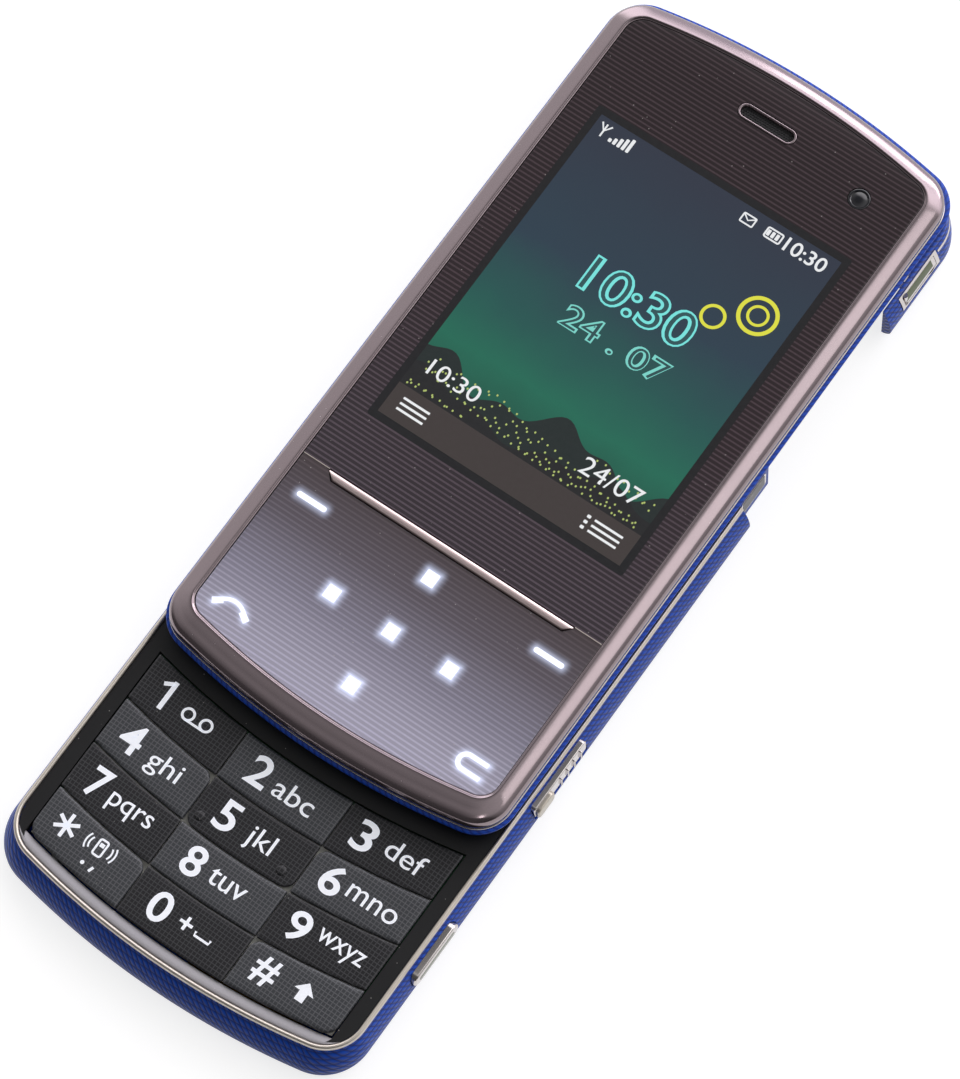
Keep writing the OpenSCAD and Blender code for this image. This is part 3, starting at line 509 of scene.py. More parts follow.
class Groups:
    """The shader node groups that more than one material uses, each built once."""

    def __init__(self) -> None:
        """Builds every group."""
        self.dust = self._build("dust", self._dust, {"Vector": "Vector", "Scale": "Float", "Amount": "Float"})
        self.grain = self._build("grain", self._grain, {"Vector": "Vector", "Scale": "Float"})
        self.lines = self._build("lines", self._lines, {"Along": "Float", "Pitch": "Float", "Share": "Float"})
        self.twill = self._build("twill", self._twill, {"Vector": "Vector", "Pitch": "Float"})

    @staticmethod
    def _build(
        name: str, fill: Callable[[Tree, dict[str, Socket]], Socket], inputs: dict[str, str]
    ) -> bpy.types.NodeTree:
        """Builds one group.

        Args:
            name: The group's name.
            fill: Makes the nodes, and returns the socket that the group puts out.
            inputs: Names and kinds of the group's inputs.

        Returns:
            The group, with one output named Value.
        """
        group = bpy.data.node_groups.new(name, "ShaderNodeTree")
        for label, kind in inputs.items():
            group.interface.new_socket(label, in_out="INPUT", socket_type="NodeSocket" + kind)
        group.interface.new_socket("Value", in_out="OUTPUT", socket_type="NodeSocketFloat")
        tree = Tree(group)
        start = group.nodes.new("NodeGroupInput")
        end = group.nodes.new("NodeGroupOutput")
        given = {label: start.outputs[label] for label in inputs}
        group.links.new(fill(tree, given), end.inputs["Value"])
        return group

    @staticmethod
    def _dust(t: Tree, given: dict[str, Socket]) -> Socket:
        """Small bright specks, more or less of them by Amount.

        Args:
            t: The group's tree.
            given: The group's inputs.

        Returns:
            1 in a speck, 0 beside it.
        """
        cells = t.add("TexVoronoi", given["Vector"], None, given["Scale"], feature="F1")
        size = t.math("MULTIPLY", given["Amount"], 0.16)
        speck = t.math("LESS_THAN", cells.outputs["Distance"], size)
        chance = t.add("SeparateColor", cells.outputs["Color"]).outputs[0]
        rare = t.math("GREATER_THAN", chance, 0.55)
        return t.math("MULTIPLY", speck, rare)

    @staticmethod
    def _grain(t: Tree, given: dict[str, Socket]) -> Socket:
        """Fine uneven grain, from 0 to 1."""
        noise = t.add("TexNoise", given["Vector"], None, given["Scale"], 4.0, 0.6)
        return noise.outputs[0]

    @staticmethod
    def _lines(t: Tree, given: dict[str, Socket]) -> Socket:
        """Even soft lines along one measure.

        Args:
            t: The group's tree.
            given: The group's inputs.

        Returns:
            1 on a line, 0 beside it.
        """
        place = t.math("FRACT", t.math("DIVIDE", given["Along"], given["Pitch"]))
        off = t.math("ABSOLUTE", t.math("SUBTRACT", place, 0.5))
        edge = t.math("MULTIPLY", given["Share"], 0.5)
        soft = t.math("DIVIDE", t.math("SUBTRACT", edge, off), 0.09)
        return t.math("ADD", soft, 0.5, clamp=True)

    @staticmethod
    def _twill(t: Tree, given: dict[str, Socket]) -> Socket:
        """A diagonal rib cut into short floats.

        Args:
            t: The group's tree.
            given: The group's inputs.

        Returns:
            0 in the gaps to 1 on the ribs.
        """
        split = t.add("SeparateXYZ", given["Vector"])
        u = t.math("DIVIDE", split.outputs[0], given["Pitch"])
        v = t.math("DIVIDE", split.outputs[1], given["Pitch"])
        diagonal = t.math("ADD", u, t.math("MULTIPLY", v, 0.9))
        rib = t.math("ABSOLUTE", t.math("SINE", t.math("MULTIPLY", diagonal, math.pi)))
        row = t.math("ABSOLUTE", t.math("SINE", t.math("MULTIPLY", v, math.pi * 0.9)))
        return t.math("MULTIPLY", t.math("POWER", rib, 0.7), t.math("POWER", row, 0.5))


# ---- Finishes ----


class Relief(Enum):
    """What a finish's fine surface detail is."""

    GRAINED = "grained"
    BRUSHED = "brushed"
    WOVEN = "woven"
    GRIDDED = "gridded"
    STRIPED = "striped"


@dataclass(frozen=True)
class Finish:
    """One surface finish, with its colours as display values from 0 to 255."""

    name: str
    colour: Colour
    second: Colour | None = None
    metallic: float = 0.0
    roughness: float = 0.4
    coat: float = 0.0
    coat_roughness: float = 0.05
    relief: Relief = Relief.GRAINED
    pitch: float = 0.5
    depth: float = 0.004
    dust: float = 0.0
    specular: float = 0.5
    wear: float = 0.1


class Painter:
    """Makes the materials, and keeps one of each."""

    def __init__(self) -> None:
        """Builds the shared groups."""
        self.groups = Groups()
        self.made: dict[str, Material] = {}

    def start(self, name: str) -> tuple[Material, Tree, bpy.types.Node, Socket]:
        """Starts a material.

        Args:
            name: Its name.

        Returns:
            The material, its tree, its Principled BSDF and the place in millimetres.
        """
        material = bpy.data.materials.new(name)
        material.use_nodes = True
        tree = Tree(material.node_tree)
        shader = material.node_tree.nodes["Principled BSDF"]
        place = tree.add("TexCoord").outputs["Object"]
        in_mm = tree.vector("MULTIPLY", place, (1 / MM,) * 3)
        return material, tree, shader, in_mm

    def group(self, tree: Tree, group: bpy.types.NodeTree, *inputs: object) -> Socket:
        """Places a shared group in a material.

        Args:
            tree: The material's tree.
            group: The group.
            inputs: Values or output sockets for its inputs.

        Returns:
            The group's value.
        """
        node = tree.tree.nodes.new("ShaderNodeGroup")
        node.node_tree = group
        for socket, value in zip(node.inputs, inputs):
            tree.feed(socket, value)
        return node.outputs[0]

    @staticmethod
    def gloss(shader: bpy.types.Node) -> None:
        """A clear glossy coat over a surface that has no gloss of its own."""
        for name, value in (
            ("Roughness", 0.5), ("Specular IOR Level", 0.0), ("Coat Weight", 1.0), ("Coat Roughness", 0.08)
        ):
            shader.inputs[name].default_value = value

    def paint(self, finish: Finish) -> Material:
        """The material of a finish, made the first time it is asked for.

        Args:
            finish: The finish.

        Returns:
            Its material.
        """
        if finish.name in self.made:
            return self.made[finish.name]
        material, t, shader, place = self.start(finish.name)
        base, second = linear(finish.colour), linear(finish.second or finish.colour)
        height, mask = self._relief(t, finish, place)
        colour = t.mix(mask, base, second)
        cloud = self.group(t, self.groups.grain, place, 0.12)
        colour = t.mix(t.math("MULTIPLY", cloud, finish.wear), colour, tuple(c * 0.55 for c in base))
        rough = t.math("ADD", finish.roughness - 0.06, t.math("MULTIPLY", cloud, 0.12))
        if finish.dust:
            specks = self.group(t, self.groups.dust, place, 1.1, finish.dust)
            colour = t.mix(t.math("MULTIPLY", specks, 0.5), colour, linear((215, 212, 208)))
            rough = t.math("ADD", rough, t.math("MULTIPLY", specks, 0.3))
        t.feed(shader.inputs["Base Color"], colour)
        t.feed(shader.inputs["Roughness"], rough)
        shader.inputs["Metallic"].default_value = finish.metallic
        shader.inputs["Specular IOR Level"].default_value = finish.specular
        shader.inputs["Coat Weight"].default_value = finish.coat
        shader.inputs["Coat Roughness"].default_value = finish.coat_roughness
        if finish.depth:
            bump = t.add("Bump")
            bump.inputs["Strength"].default_value = 1.0
            bump.inputs["Distance"].default_value = finish.depth * MM
            t.feed(bump.inputs["Height"], height)
            t.feed(shader.inputs["Normal"], bump.outputs["Normal"])
        self.made[finish.name] = material
        return material

    def _relief(
        self, t: Tree, finish: Finish, place: Socket
    ) -> tuple[Socket, Socket]:
        """The fine detail of a finish.

        Args:
            t: The material's tree.
            finish: The finish.
            place: The place in millimetres.

        Returns:
            The height for the bump, and the share of the second colour.
        """
        split = t.add("SeparateXYZ", place)
        x, y = split.outputs[0], split.outputs[1]
        fine = self.group(t, self.groups.grain, place, 6.0)
        if finish.relief is Relief.WOVEN:
            skin = t.vector("MULTIPLY", t.add("TexCoord").outputs["UV"], (1 / MM,) * 3)
            rib = self.group(t, self.groups.twill, skin, finish.pitch)
            return rib, t.math("SUBTRACT", 1.0, rib, clamp=True)
        if finish.relief is Relief.GRIDDED:
            across = self.group(t, self.groups.lines, x, finish.pitch, 0.2)
            along = self.group(t, self.groups.lines, y, finish.pitch, 0.2)
            grid = t.math("MAXIMUM", across, along)
            return grid, t.math("MULTIPLY", grid, t.math("ADD", 0.4, t.math("MULTIPLY", fine, 0.6)))
        if finish.relief is Relief.STRIPED:
            stripe = self.group(t, self.groups.lines, y, finish.pitch, 0.36)
            return stripe, t.math("MULTIPLY", stripe, t.math("ADD", 0.5, t.math("MULTIPLY", fine, 0.5)))
        if finish.relief is Relief.BRUSHED:
            stretched = t.vector("MULTIPLY", place, (9.0, 0.5, 9.0))
            brushed = self.group(t, self.groups.grain, stretched, 1.0)
            return brushed, brushed
        return fine, t.math("MULTIPLY", fine, 0.5)


# ---- Finishes of this phone ----

CASING = Finish("casing_blue", (16, 82, 205), (4, 26, 92), roughness=0.42, coat=0.15, coat_roughness=0.3,
                relief=Relief.WOVEN, pitch=0.8, depth=0.1, specular=0.2, wear=0.2)
BAND = Finish("band_blue", (16, 76, 196), (6, 34, 112), roughness=0.4, coat=0.2, coat_roughness=0.25,
              relief=Relief.WOVEN, pitch=0.8, depth=0.03, specular=0.2, wear=0.2)
LINER = Finish(
    "shoulder_liner", (70, 68, 70), (122, 118, 116), metallic=0.8, roughness=0.4, depth=0.01, dust=1.2
)
BAR = Finish(
    "end_key_pink", (226, 206, 204), (206, 188, 187), metallic=1.0, roughness=0.3, depth=0.001, dust=0.2
)
BEAD = Finish(
    "bead_beige", (214, 206, 196), (196, 188, 178), metallic=1.0, roughness=0.42, depth=0.001, dust=0.2
)
# The rocker pad's beige is a painted reflection of a pale wall in a bright flat face.
PAD_PAINTED_REFLECTION = Finish("rocker_pad", (206, 198, 184), (190, 182, 170), metallic=0.6, roughness=0.32, depth=0.001)
CHROME = Finish("chrome_trim", (214, 208, 206), (190, 184, 183), metallic=1.0, roughness=0.2,
                relief=Relief.GRAINED, depth=0.0015, dust=0.25)
BEZEL = Finish("bezel_black", (28, 28, 29), (38, 38, 39), roughness=0.4, depth=0.002, dust=0.4, specular=0.3)
CHIN = Finish(
    "chin_grey", (158, 156, 160), (122, 119, 122), metallic=0.3, roughness=0.5, depth=0.002, dust=0.3
)
FRAME = Finish("frame_mauve", (148, 134, 138), (126, 113, 118), metallic=0.9, roughness=0.17, coat=0.3,
               coat_roughness=0.1, depth=0.0012, dust=0.25, wear=0.12)
DARK_KEY = Finish("key_dark", (27, 27, 30), (70, 70, 73), roughness=0.4, coat=0.2, coat_roughness=0.3,
                  relief=Relief.GRIDDED, pitch=0.5, depth=0.012, dust=0.3, specular=0.3)
LIGHT_KEY = Finish("key_light", (52, 54, 58), (98, 99, 103), roughness=0.42, coat=0.2, coat_roughness=0.3,
                   relief=Relief.GRIDDED, pitch=0.5, depth=0.012, dust=0.3, specular=0.4)
RUBBER = Finish("mat_rubber", (222, 221, 214), (205, 204, 198), roughness=0.75, depth=0.003)
SWITCH = Finish("switch_grey", (104, 108, 112), (84, 88, 92), roughness=0.5, depth=0.002)
STEEL = Finish("steel", (176, 177, 180), (150, 151, 155), metallic=1.0, roughness=0.34, relief=Relief.BRUSHED,
               depth=0.002)
BOARD = Finish("board_green", (22, 92, 50), (16, 70, 38), roughness=0.35, coat=0.5, relief=Relief.GRIDDED,
               pitch=1.3, depth=0.004)
BATTERY = Finish(
    "battery_grey", (96, 98, 104), (84, 86, 92), metallic=0.7, roughness=0.42, relief=Relief.BRUSHED,
    depth=0.002,
)
GOLD = Finish("contact_gold", (222, 184, 104), (202, 166, 90), metallic=1.0, roughness=0.24, depth=0.001)
CARD = Finish("card_cream", (224, 214, 178), (212, 202, 168), roughness=0.45, depth=0.001)
INNER = Finish("inner_black", (40, 40, 43), (50, 50, 53), roughness=0.6, depth=0.003)
BRASS = Finish(
    "weight_brass", (178, 150, 96), (160, 134, 84), metallic=1.0, roughness=0.36, relief=Relief.BRUSHED,
    depth=0.003,
)
LENS = Finish(
    "lens_glass", (16, 17, 24), (22, 23, 30), roughness=0.06, coat=1.0, coat_roughness=0.02, depth=0.0
)
DISPLAY = Finish("display_face", (92, 98, 112), (84, 90, 104), roughness=0.3, depth=0.001)
GUIDE = Finish("light_white", (238, 242, 252), (228, 232, 244), roughness=0.35, depth=0.001)
# The olive is a painted reflection of a green thing in a bright flat face, used on the side door's inlay and
# on the long key's inlay.
DOOR_PAINTED_REFLECTION = Finish(
    "door_olive", (74, 88, 26), (52, 64, 18), roughness=0.3, coat=0.4, coat_roughness=0.1, depth=0.001,
    dust=0.2,
)


@dataclass
class Assembly:
    """What every sub-assembly can do: dress its pieces and put them on their bodies."""

    painter: Painter

    def place(
        self,
        obj: Object,
        body: str,
        material: Finish | Material,
        slot: str,
        *nodes: str,
    ) -> Object:
        """Dresses a piece and puts it on its body.

        Args:
            obj: The finished piece.
            body: The CAD body that it moves with.
            material: Its finish, or a material of its own.
            slot: Not used.
            nodes: The CAD nodes that it stands for.

        Returns:
            The piece.
        """
        paint = self.painter.paint(material) if isinstance(material, Finish) else material
        obj.data.materials.clear()
        obj.data.materials.append(paint)
        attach(obj, body)
        if nodes:
            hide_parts(*nodes)
        LOG.info("%s rides on %s, %d faces", obj.name, body, len(obj.data.polygons))
        return obj


def box_mm(node: str) -> tuple[Vector, Vector]:
    """A CAD node's lowest and highest corners, in millimetres."""
    low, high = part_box(node)
    return low / MM, high / MM


@dataclass
class Body:
    """Sizes that the lower half and the head share."""

    half_width: float = 25.0
    bottom: float = -45.35
    top: float = 45.35
    closed_length: float = 104.3
    end_radius: float = 106.0
    corner: float = 6.2
    height: float = 5.45
    widest: float = 1.8
    back_round: float = 2.2
    side_lean: float = 0.95
    end_lean: float = 2.0

    def outline(self, side: float, bottom: float, top: float, shift: float = 0.0) -> Outline:
        """The closed phone's lower outline.

        Args:
            side: How far it is drawn in at its sides.
            bottom: How far at its lower end.
            top: How far at its upper end.
            shift: How far it is moved towards +Y.

        Returns:
            The outline.
        """
        shape = Bowed(
            self.half_width - side,
            self.bottom + bottom,
            self.bottom + self.closed_length - top,
            self.end_radius - bottom,
            self.end_radius - top,
            self.corner - side,
            self.corner - side,
        )
        return moved(shape.points(56, 20, 60), 0, shift)

    def skin(self, low: float, high: float, shift: float = 0.0, out: float = 0.0) -> list[list[Point3]]:
        """Rings of the skin: round below the widest line, and leaning in above it.

        Args:
            low: Height of the first ring.
            high: Height of the last ring.
            shift: How far the rings are moved towards +Y.
            out: How far the rings stand outside the skin.

        Returns:
            The rings, lowest first.
        """
        start = math.acos(1 - min(1.0, low / self.widest))
        rings = []
        for i in range(13):
            a = start + (math.pi / 2 - start) * i / 12
            d = self.back_round * (1 - math.sin(a)) - out
            rings.append(ring_at(self.outline(d, d, d, shift), self.widest * (1 - math.cos(a))))
        for i in range(1, 11):
            z = self.widest + (high - self.widest) * i / 10
            t = ((z - self.widest) / (self.height - self.widest)) ** 2
            rings.append(
                ring_at(
                    self.outline(self.side_lean * t - out, self.end_lean * t - out, 0.3 * t - out, shift), z
                )
            )
        return rings


def wall_cut(low: Point2, high: Point2, r: float, start: float) -> Solid:
    """A cutter that goes out through the right wall, round at its corners.

    Args:
        low: Its lowest y and z.
        high: Its highest y and z.
        r: Radius of its corners.
        start: The x where it starts.

    Returns:
        The solid to cut with.
    """
    shape = rounded_box(high[0] - low[0], high[1] - low[1], r)
    shape = moved(shape, (low[0] + high[0]) / 2, (low[1] + high[1]) / 2)
    return loft([[(x, y, z) for y, z in shape] for x in (start, 27)])


@dataclass
class LowerSizes:
    """Sizes of the lower half."""

    wall: float = 1.2
    floor: float = 0.9
    bead_width: float = 0.6
    shoulder_y: float = 39.2
    shoulder_half_width: float = 23.4
    cover_half_width: float = 20.9
    cover_top: float = 35.55
    keypad_bottom: float = -41.15
    screws: tuple[Point2, ...] = ((20.2, 37.75), (19.7, -34.95))


@dataclass
class LowerHalf(Assembly):
    """Casing, battery cover, bead, chin and the shoulders' liners."""

    body: Body
    sizes: LowerSizes

    def build(self) -> None:
        """Builds and dresses the whole sub-assembly."""
        self.casing()
        self.cover()
        self.bead()
        self.chin()
        self.liners()

    def casing(self) -> None:
        """The blue casing, hollow and open at the back for the battery."""
        b, s = self.body, self.sizes
        inner = b.half_width - b.side_lean - s.wall
        shell = make_object("casing", loft(b.skin(0, b.height)))
        room = Bowed(inner, b.bottom + b.end_lean + s.wall, b.bottom + b.closed_length,
                     b.end_radius - 3, b.end_radius, b.corner - b.side_lean - s.wall, b.corner)
        below = [(-x, -y) for x, y in clipped([(-x, -y) for x, y in room.points(40, 10, 30)], s.wall - b.top)]
        cavity = plate(below, s.floor + 0.45, 9)
        battery_low, battery_high = box_mm("battery")
        motor_low, motor_high = box_mm("vibration_motor")
        cutters = [
            box_solid((-30, b.top, -1), (30, 70, 9)),
            box_solid((s.shoulder_half_width, s.shoulder_y, -1), (30, 60, 9)),
            box_solid((-30, s.shoulder_y, -1), (-s.shoulder_half_width, 60, 9)),
            cavity,
            box_solid(
                (-s.cover_half_width - 0.06, -50, -1), (s.cover_half_width + 0.06, s.cover_top + 0.06, 0.86)
            ),
            box_solid(
                (battery_low.x - 0.4, battery_low.y - 4, -1), (battery_high.x + 0.4, s.cover_top - 1, 2)
            ),
            box_solid(
                (motor_low.x - 3.6, motor_low.y - 0.1, 0.6), (motor_high.x + 0.3, motor_high.y + 0.1, 3)
            ),
            self.side_slot("side_rocker"),
            self.side_slot("side_key"),
        ]
        for i in range(-2, 3):
            slot = [(y + i * 2.4, x + 40.25) for x, y in stadium(3.6, 0.9)]
            cutters.append(plate(slot[::-1], -1, 3))
        for x, y in s.screws:
            for side in (-1, 1):
                cutters.append(plate(arc(side * x, y, 1.39, 0, 345, 23), -1, 3))
        shell = carve(shell, cutters)
        self.place(shell, "lower_half", CASING, "casing_blue", "rear_casing")

    @staticmethod
    def side_slot(node: str) -> Solid:
        """The opening in the right wall round a side key.

        Args:
            node: The side key's CAD node.

        Returns:
            The solid to cut with.
        """
        low, high = box_mm(node)
        y0, y1 = (low.y, high.y) if node == "side_rocker" else (low.y + 0.6, high.y - 0.6)
        z0, z1 = (2.1, 4.9) if node == "side_rocker" else (2.1, 4.7)
        r = 0.5 if node == "side_rocker" else 1.2
        return wall_cut((y0 - 0.1, z0), (y1 + 0.1, z1), r, 21.8)

    def cover(self) -> None:
        """The battery cover, a piece of the same skin."""
        b, s = self.body, self.sizes
        cover = make_object("battery_lid", loft(b.skin(0, b.height)))
        w = s.cover_half_width - 0.06
        keep = box_solid((-w, -50, -1), (w, s.cover_top - 0.06, 0.74))
        cover = carve(cover, [keep], keep_common=True)
        self.place(cover, "battery_cover", CASING, "casing_blue", "battery_cover")

    def bead(self) -> None:
        """The rounded bright bead round the deck."""
        b, s = self.body, self.sizes
        outer = Bowed(
            b.half_width - b.side_lean, b.bottom + b.end_lean, b.bottom + b.closed_length - 0.3,
            b.end_radius - b.end_lean, b.end_radius - 0.3, b.corner - b.side_lean, b.corner - b.side_lean,
        )
        section = [(0, 0), (0, 0.34), (0.04, 0.48), (0.12, 0.58), (0.22, 0.635), (0.3, 0.65), (0.38, 0.635),
                   (0.48, 0.58), (0.56, 0.48), (0.6, 0.34), (0.6, 0)]
        rings = [ring_at(outer.inset(d).points(56, 20, 60), b.height + h) for d, h in section]
        bead = make_object("bead", loft(rings, closed=True), smooth=50)
        bead = carve(bead, [box_solid((-30, s.shoulder_y, 0), (30, 80, 9))], smooth=50)
        self.place(bead, "lower_half", BEAD, "chrome_trim", "chrome_bead")

    def chin(self) -> None:
        """The grey strip between the keys and the bead, which catches the light."""
        s = self.sizes
        section = [
            (0.0, 4.76), (0.0, 5.72), (0.05, 5.8), (0.16, 5.81), (0.45, 5.7), (0.75, 5.56), (0.94, 5.47),
            (1.0, 5.4), (1.0, 4.76),
        ]
        count = 64
        stations = [22.5 * math.sin(math.pi / 2 * (2 * i / count - 1)) for i in range(count + 1)]
        rings = []
        for share, z in section:
            ring = []
            for x in stations:
                low, high = self.bead_line(x) + 0.06, s.keypad_bottom - 0.1 + x * x / (
                    2 * self.body.end_radius
                )
                ring.append((x, low + max(high - low, 0.12) * share, z))
            rings.append(ring)
        points = [p for ring in rings for p in ring]
        m, n = len(rings), count + 1
        faces = [
            (j * n + i, j * n + i + 1, ((j + 1) % m) * n + i + 1, ((j + 1) % m) * n + i)
            for j in range(m) for i in range(count)
        ]
        faces.append(tuple(j * n for j in range(m)))
        faces.append(tuple(j * n + count for j in range(m - 1, -1, -1)))
        strip = make_object("chin", Solid(points, faces), smooth=50)
        recalc(strip)
        self.place(strip, "lower_half", CHIN, "chin_grey", "chin_strip")

    def liners(self) -> None:
        """The speckled plates on the shoulders' sides, in thin bright rims, which the head's cheeks pass."""
        s = self.sizes
        for side, name in ((-1, "left"), (1, "right")):
            for part, finish, inset, out in (("rim", CHROME, 0.0, 0.1), ("plate", LINER, 0.3, 0.14)):
                outline = rounded_box(5.0 - 2 * inset, 3.4 - 2 * inset, 0.5 - inset)
                x0, x1 = s.shoulder_half_width - 0.2, s.shoulder_half_width + out
                rings = [
                    [(side * x, y, z) for y, z in moved(outline, s.shoulder_y + 3.0, 3.5)] for x in (x0, x1)
                ]
                liner = make_object(f"{name}_shoulder_{part}", loft(rings))
                recalc(liner)
                self.place(liner, "lower_half", finish, "chrome_trim")

    def bead_line(self, x: float) -> float:
        """The bead's inner edge at its lower end.

        Args:
            x: Where along it.

        Returns:
            Its y.
        """
        b, w = self.body, self.sizes.bead_width
        low, radius = b.bottom + b.end_lean + w, b.end_radius - b.end_lean - w
        corner = b.corner - b.side_lean - w
        side = b.half_width - b.side_lean - w - corner
        if abs(x) < side * radius / (radius - corner):
            return low + x * x / (2 * radius)
        middle = low + radius - math.sqrt((radius - corner) ** 2 - side**2)
        return middle - math.sqrt(corner**2 - (abs(x) - side) ** 2)


def recalc(obj: Object) -> None:
    """Turns a closed mesh's faces outwards.

    Args:
        obj: The mesh object.
    """
    bm = bmesh.new()
    bm.from_mesh(obj.data)
    bmesh.ops.recalc_face_normals(bm, faces=bm.faces)
    bm.to_mesh(obj.data)
    bm.free()


# ---- Keypad ----


@dataclass(frozen=True)
class Legend:
    """Lettering on a key: its text, its middle's place, its height and width."""

    text: str
    x: float
    y: float
    height: float
    width: float


@dataclass(frozen=True)
class Key:
    """One key: its column, its row from the bottom, its corners' radii and its legends."""

    name: str
    column: int
    row: int
    raised: bool
    legends: tuple[Legend, ...]
    corners: tuple[float, float, float, float] = (0, 0, 0, 0)


# The keypad's places are measured from the upper half's middle, which is this far up
OPEN = 36.95
KEYS = (
    Key("key_1", 0, 3, False, ()),
    Key("key_2", 1, 3, True, (Legend("2", -3.4, -55.3, 3.8, 2.7), Legend("abc", 1.6, -55.6, 2.5, 5.3))),
    Key("key_3", 2, 3, False, (Legend("3", 10.9, -54.8, 3.8, 2.6), Legend("def", 16.2, -54.2, 2.5, 5.0))),
    Key(
        "key_4",
        0,
        2,
        True,
        (Legend("4", -17.9, -60.4, 3.8, 2.8), Legend("ghi", -12.8, -61.3, 3.2, 4.4)),
        (0, 1.5, 0, 0),
    ),
    Key(
        "key_5",
        1,
        2,
        False,
        (Legend("5", -3.4, -61.7, 3.8, 2.6), Legend("jkl", 1.45, -62.2, 3.2, 3.4)),
        (1.5, 0, 0, 1.5),
    ),
    Key(
        "key_6",
        2,
        2,
        True,
        (Legend("6", 10.9, -61.1, 3.8, 2.7), Legend("mno", 16.3, -60.95, 1.75, 6.6)),
        (0, 0, 1.5, 0),
    ),
    Key(
        "key_7", 0, 1, False, (Legend("7", -17.9, -66.9, 3.8, 2.5), Legend("pqrs", -12.95, -67.8, 2.4, 5.9))
    ),
    Key("key_8", 1, 1, True, (Legend("8", -3.4, -68.2, 3.8, 2.6), Legend("tuv", 1.4, -68.3, 2.1, 4.8))),
    Key("key_9", 2, 1, False, (Legend("9", 10.9, -67.7, 3.8, 2.7), Legend("wxyz", 16.3, -67.35, 2.4, 6.2))),
    Key("key_star", 0, 0, True, (), (0, 1.5, 0, 1.9)),
    Key("key_0", 1, 0, False, (Legend("0", -3.4, -74.7, 3.8, 2.7), Legend("+", 0.2, -74.6, 1.7, 1.7))),
    Key("key_hash", 2, 0, True, (Legend("#", 10.9, -74.1, 3.5, 3.0),), (1.9, 0, 1.5, 0)),
)


@dataclass
class KeypadSizes:
    """Sizes of the keypad."""

    columns: tuple[float, float, float, float] = (-21.5, -7.5, 7.5, 21.5)
    bottom: float = -41.15
    pitch: float = 6.43
    gap: float = 0.07
    dark_top: float = 5.9
    light_top: float = 6.02
    grid: float = 0.5


class Lettering:
    """Flat lettering and signs, laid on whatever carries them."""

    def __init__(self, grid: float = 0.5) -> None:
        """Keeps the spacing of the cuts that let lettering follow a curved face."""
        self.grid = grid

    def word(
        self, name: str, text: str, place: Point2, height: float, width: float, bold: float = 0.03
    ) -> Object:
        """Lettering fitted into a box.

        Args:
            name: The object's name.
            text: What it says.
            place: The box's middle.
            height: The box's height.
            width: The box's width.
            bold: How much the strokes are thickened, as a share of the letter size.

        Returns:
            A flat mesh at height 0, in metres.
        """
        curve = bpy.data.curves.new(name, "FONT")
        curve.body = text
        curve.offset = bold
        curve.resolution_u = 5
        obj = bpy.data.objects.new(name, curve)
        bpy.context.scene.collection.objects.link(obj)
        obj = finished(obj)
        low = [min(v.co[i] for v in obj.data.vertices) for i in (0, 1)]
        high = [max(v.co[i] for v in obj.data.vertices) for i in (0, 1)]
        scale = (width / (high[0] - low[0]), height / (high[1] - low[1]))
        for v in obj.data.vertices:
            v.co = Vector((
                (place[0] + (v.co.x - (low[0] + high[0]) / 2) * scale[0]) * MM,
                (place[1] + (v.co.y - (low[1] + high[1]) / 2) * scale[1]) * MM,
                0,
            ))
        return obj

    @staticmethod
    def stroke(name: str, path: Sequence[Point2], width: float, closed: bool = False) -> Object:
        """A line of one width along a path.

        Args:
            name: The object's name.
            path: The points that it follows.
            width: Its width.
            closed: Whether its end joins its start.

        Returns:
            A flat mesh at height 0, in metres.
        """
        n = len(path)
        left, right = [], []
        for i, (x, y) in enumerate(path):
            ax, ay = path[(i - 1) % n] if closed or i else path[0]
            bx, by = path[(i + 1) % n] if closed or i < n - 1 else path[-1]
            length = math.hypot(bx - ax, by - ay)
            nx, ny = -(by - ay) / length, (bx - ax) / length
            left.append((x + nx * width / 2, y + ny * width / 2, 0.0))
            right.append((x - nx * width / 2, y - ny * width / 2, 0.0))
        faces = [(i, n + i, n + (i + 1) % n, (i + 1) % n) for i in range(n if closed else n - 1)]
        return make_object(name, Solid(left + right, faces))

    @staticmethod
    def shape(name: str, outline: Outline) -> Object:
        """A flat shape."""
        return make_object(name, Solid(ring_at(outline, 0), [tuple(range(len(outline)))]))

    def lay(self, obj: Object, carrier: Object | float, lift: float) -> Object:
        """Cuts a flat mesh into a grid and lays it on its carrier.

        Args:
            obj: The flat mesh.
            carrier: The piece that carries it, or the height of a flat face.
            lift: How far above the carrier it lies.

        Returns:
            The same object.
        """
        bm = bmesh.new()
        bm.from_mesh(obj.data)
        if not isinstance(carrier, float):
            for axis in (0, 1):
                values = [v.co[axis] for v in bm.verts]
                step = self.grid * MM
                for k in range(math.ceil(min(values) / step), math.ceil(max(values) / step)):
                    normal = (1, 0, 0) if axis == 0 else (0, 1, 0)
                    point = (k * step, 0, 0) if axis == 0 else (0, k * step, 0)
                    cut = bm.verts[:] + bm.edges[:] + bm.faces[:]
                    bmesh.ops.bisect_plane(bm, geom=cut, plane_co=point, plane_no=normal, dist=1e-9)
            tree = BVHTree.FromObject(carrier, bpy.context.evaluated_depsgraph_get())
        for v in bm.verts:
            if isinstance(carrier, float):
                v.co.z = (carrier + lift) * MM
            else:
                hit = tree.ray_cast(Vector((v.co.x, v.co.y, 20 * MM)), Vector((0, 0, -1)))[0]
                v.co.z = (hit.z if hit else 5 * MM) + lift * MM
        for face in bm.faces:
            if face.normal.z < 0:
                face.normal_flip()
            face.smooth = True
        bm.normal_update()
        for face in bm.faces:
            if face.normal.z < 0:
                face.normal_flip()
        bm.to_mesh(obj.data)
        bm.free()
        return obj


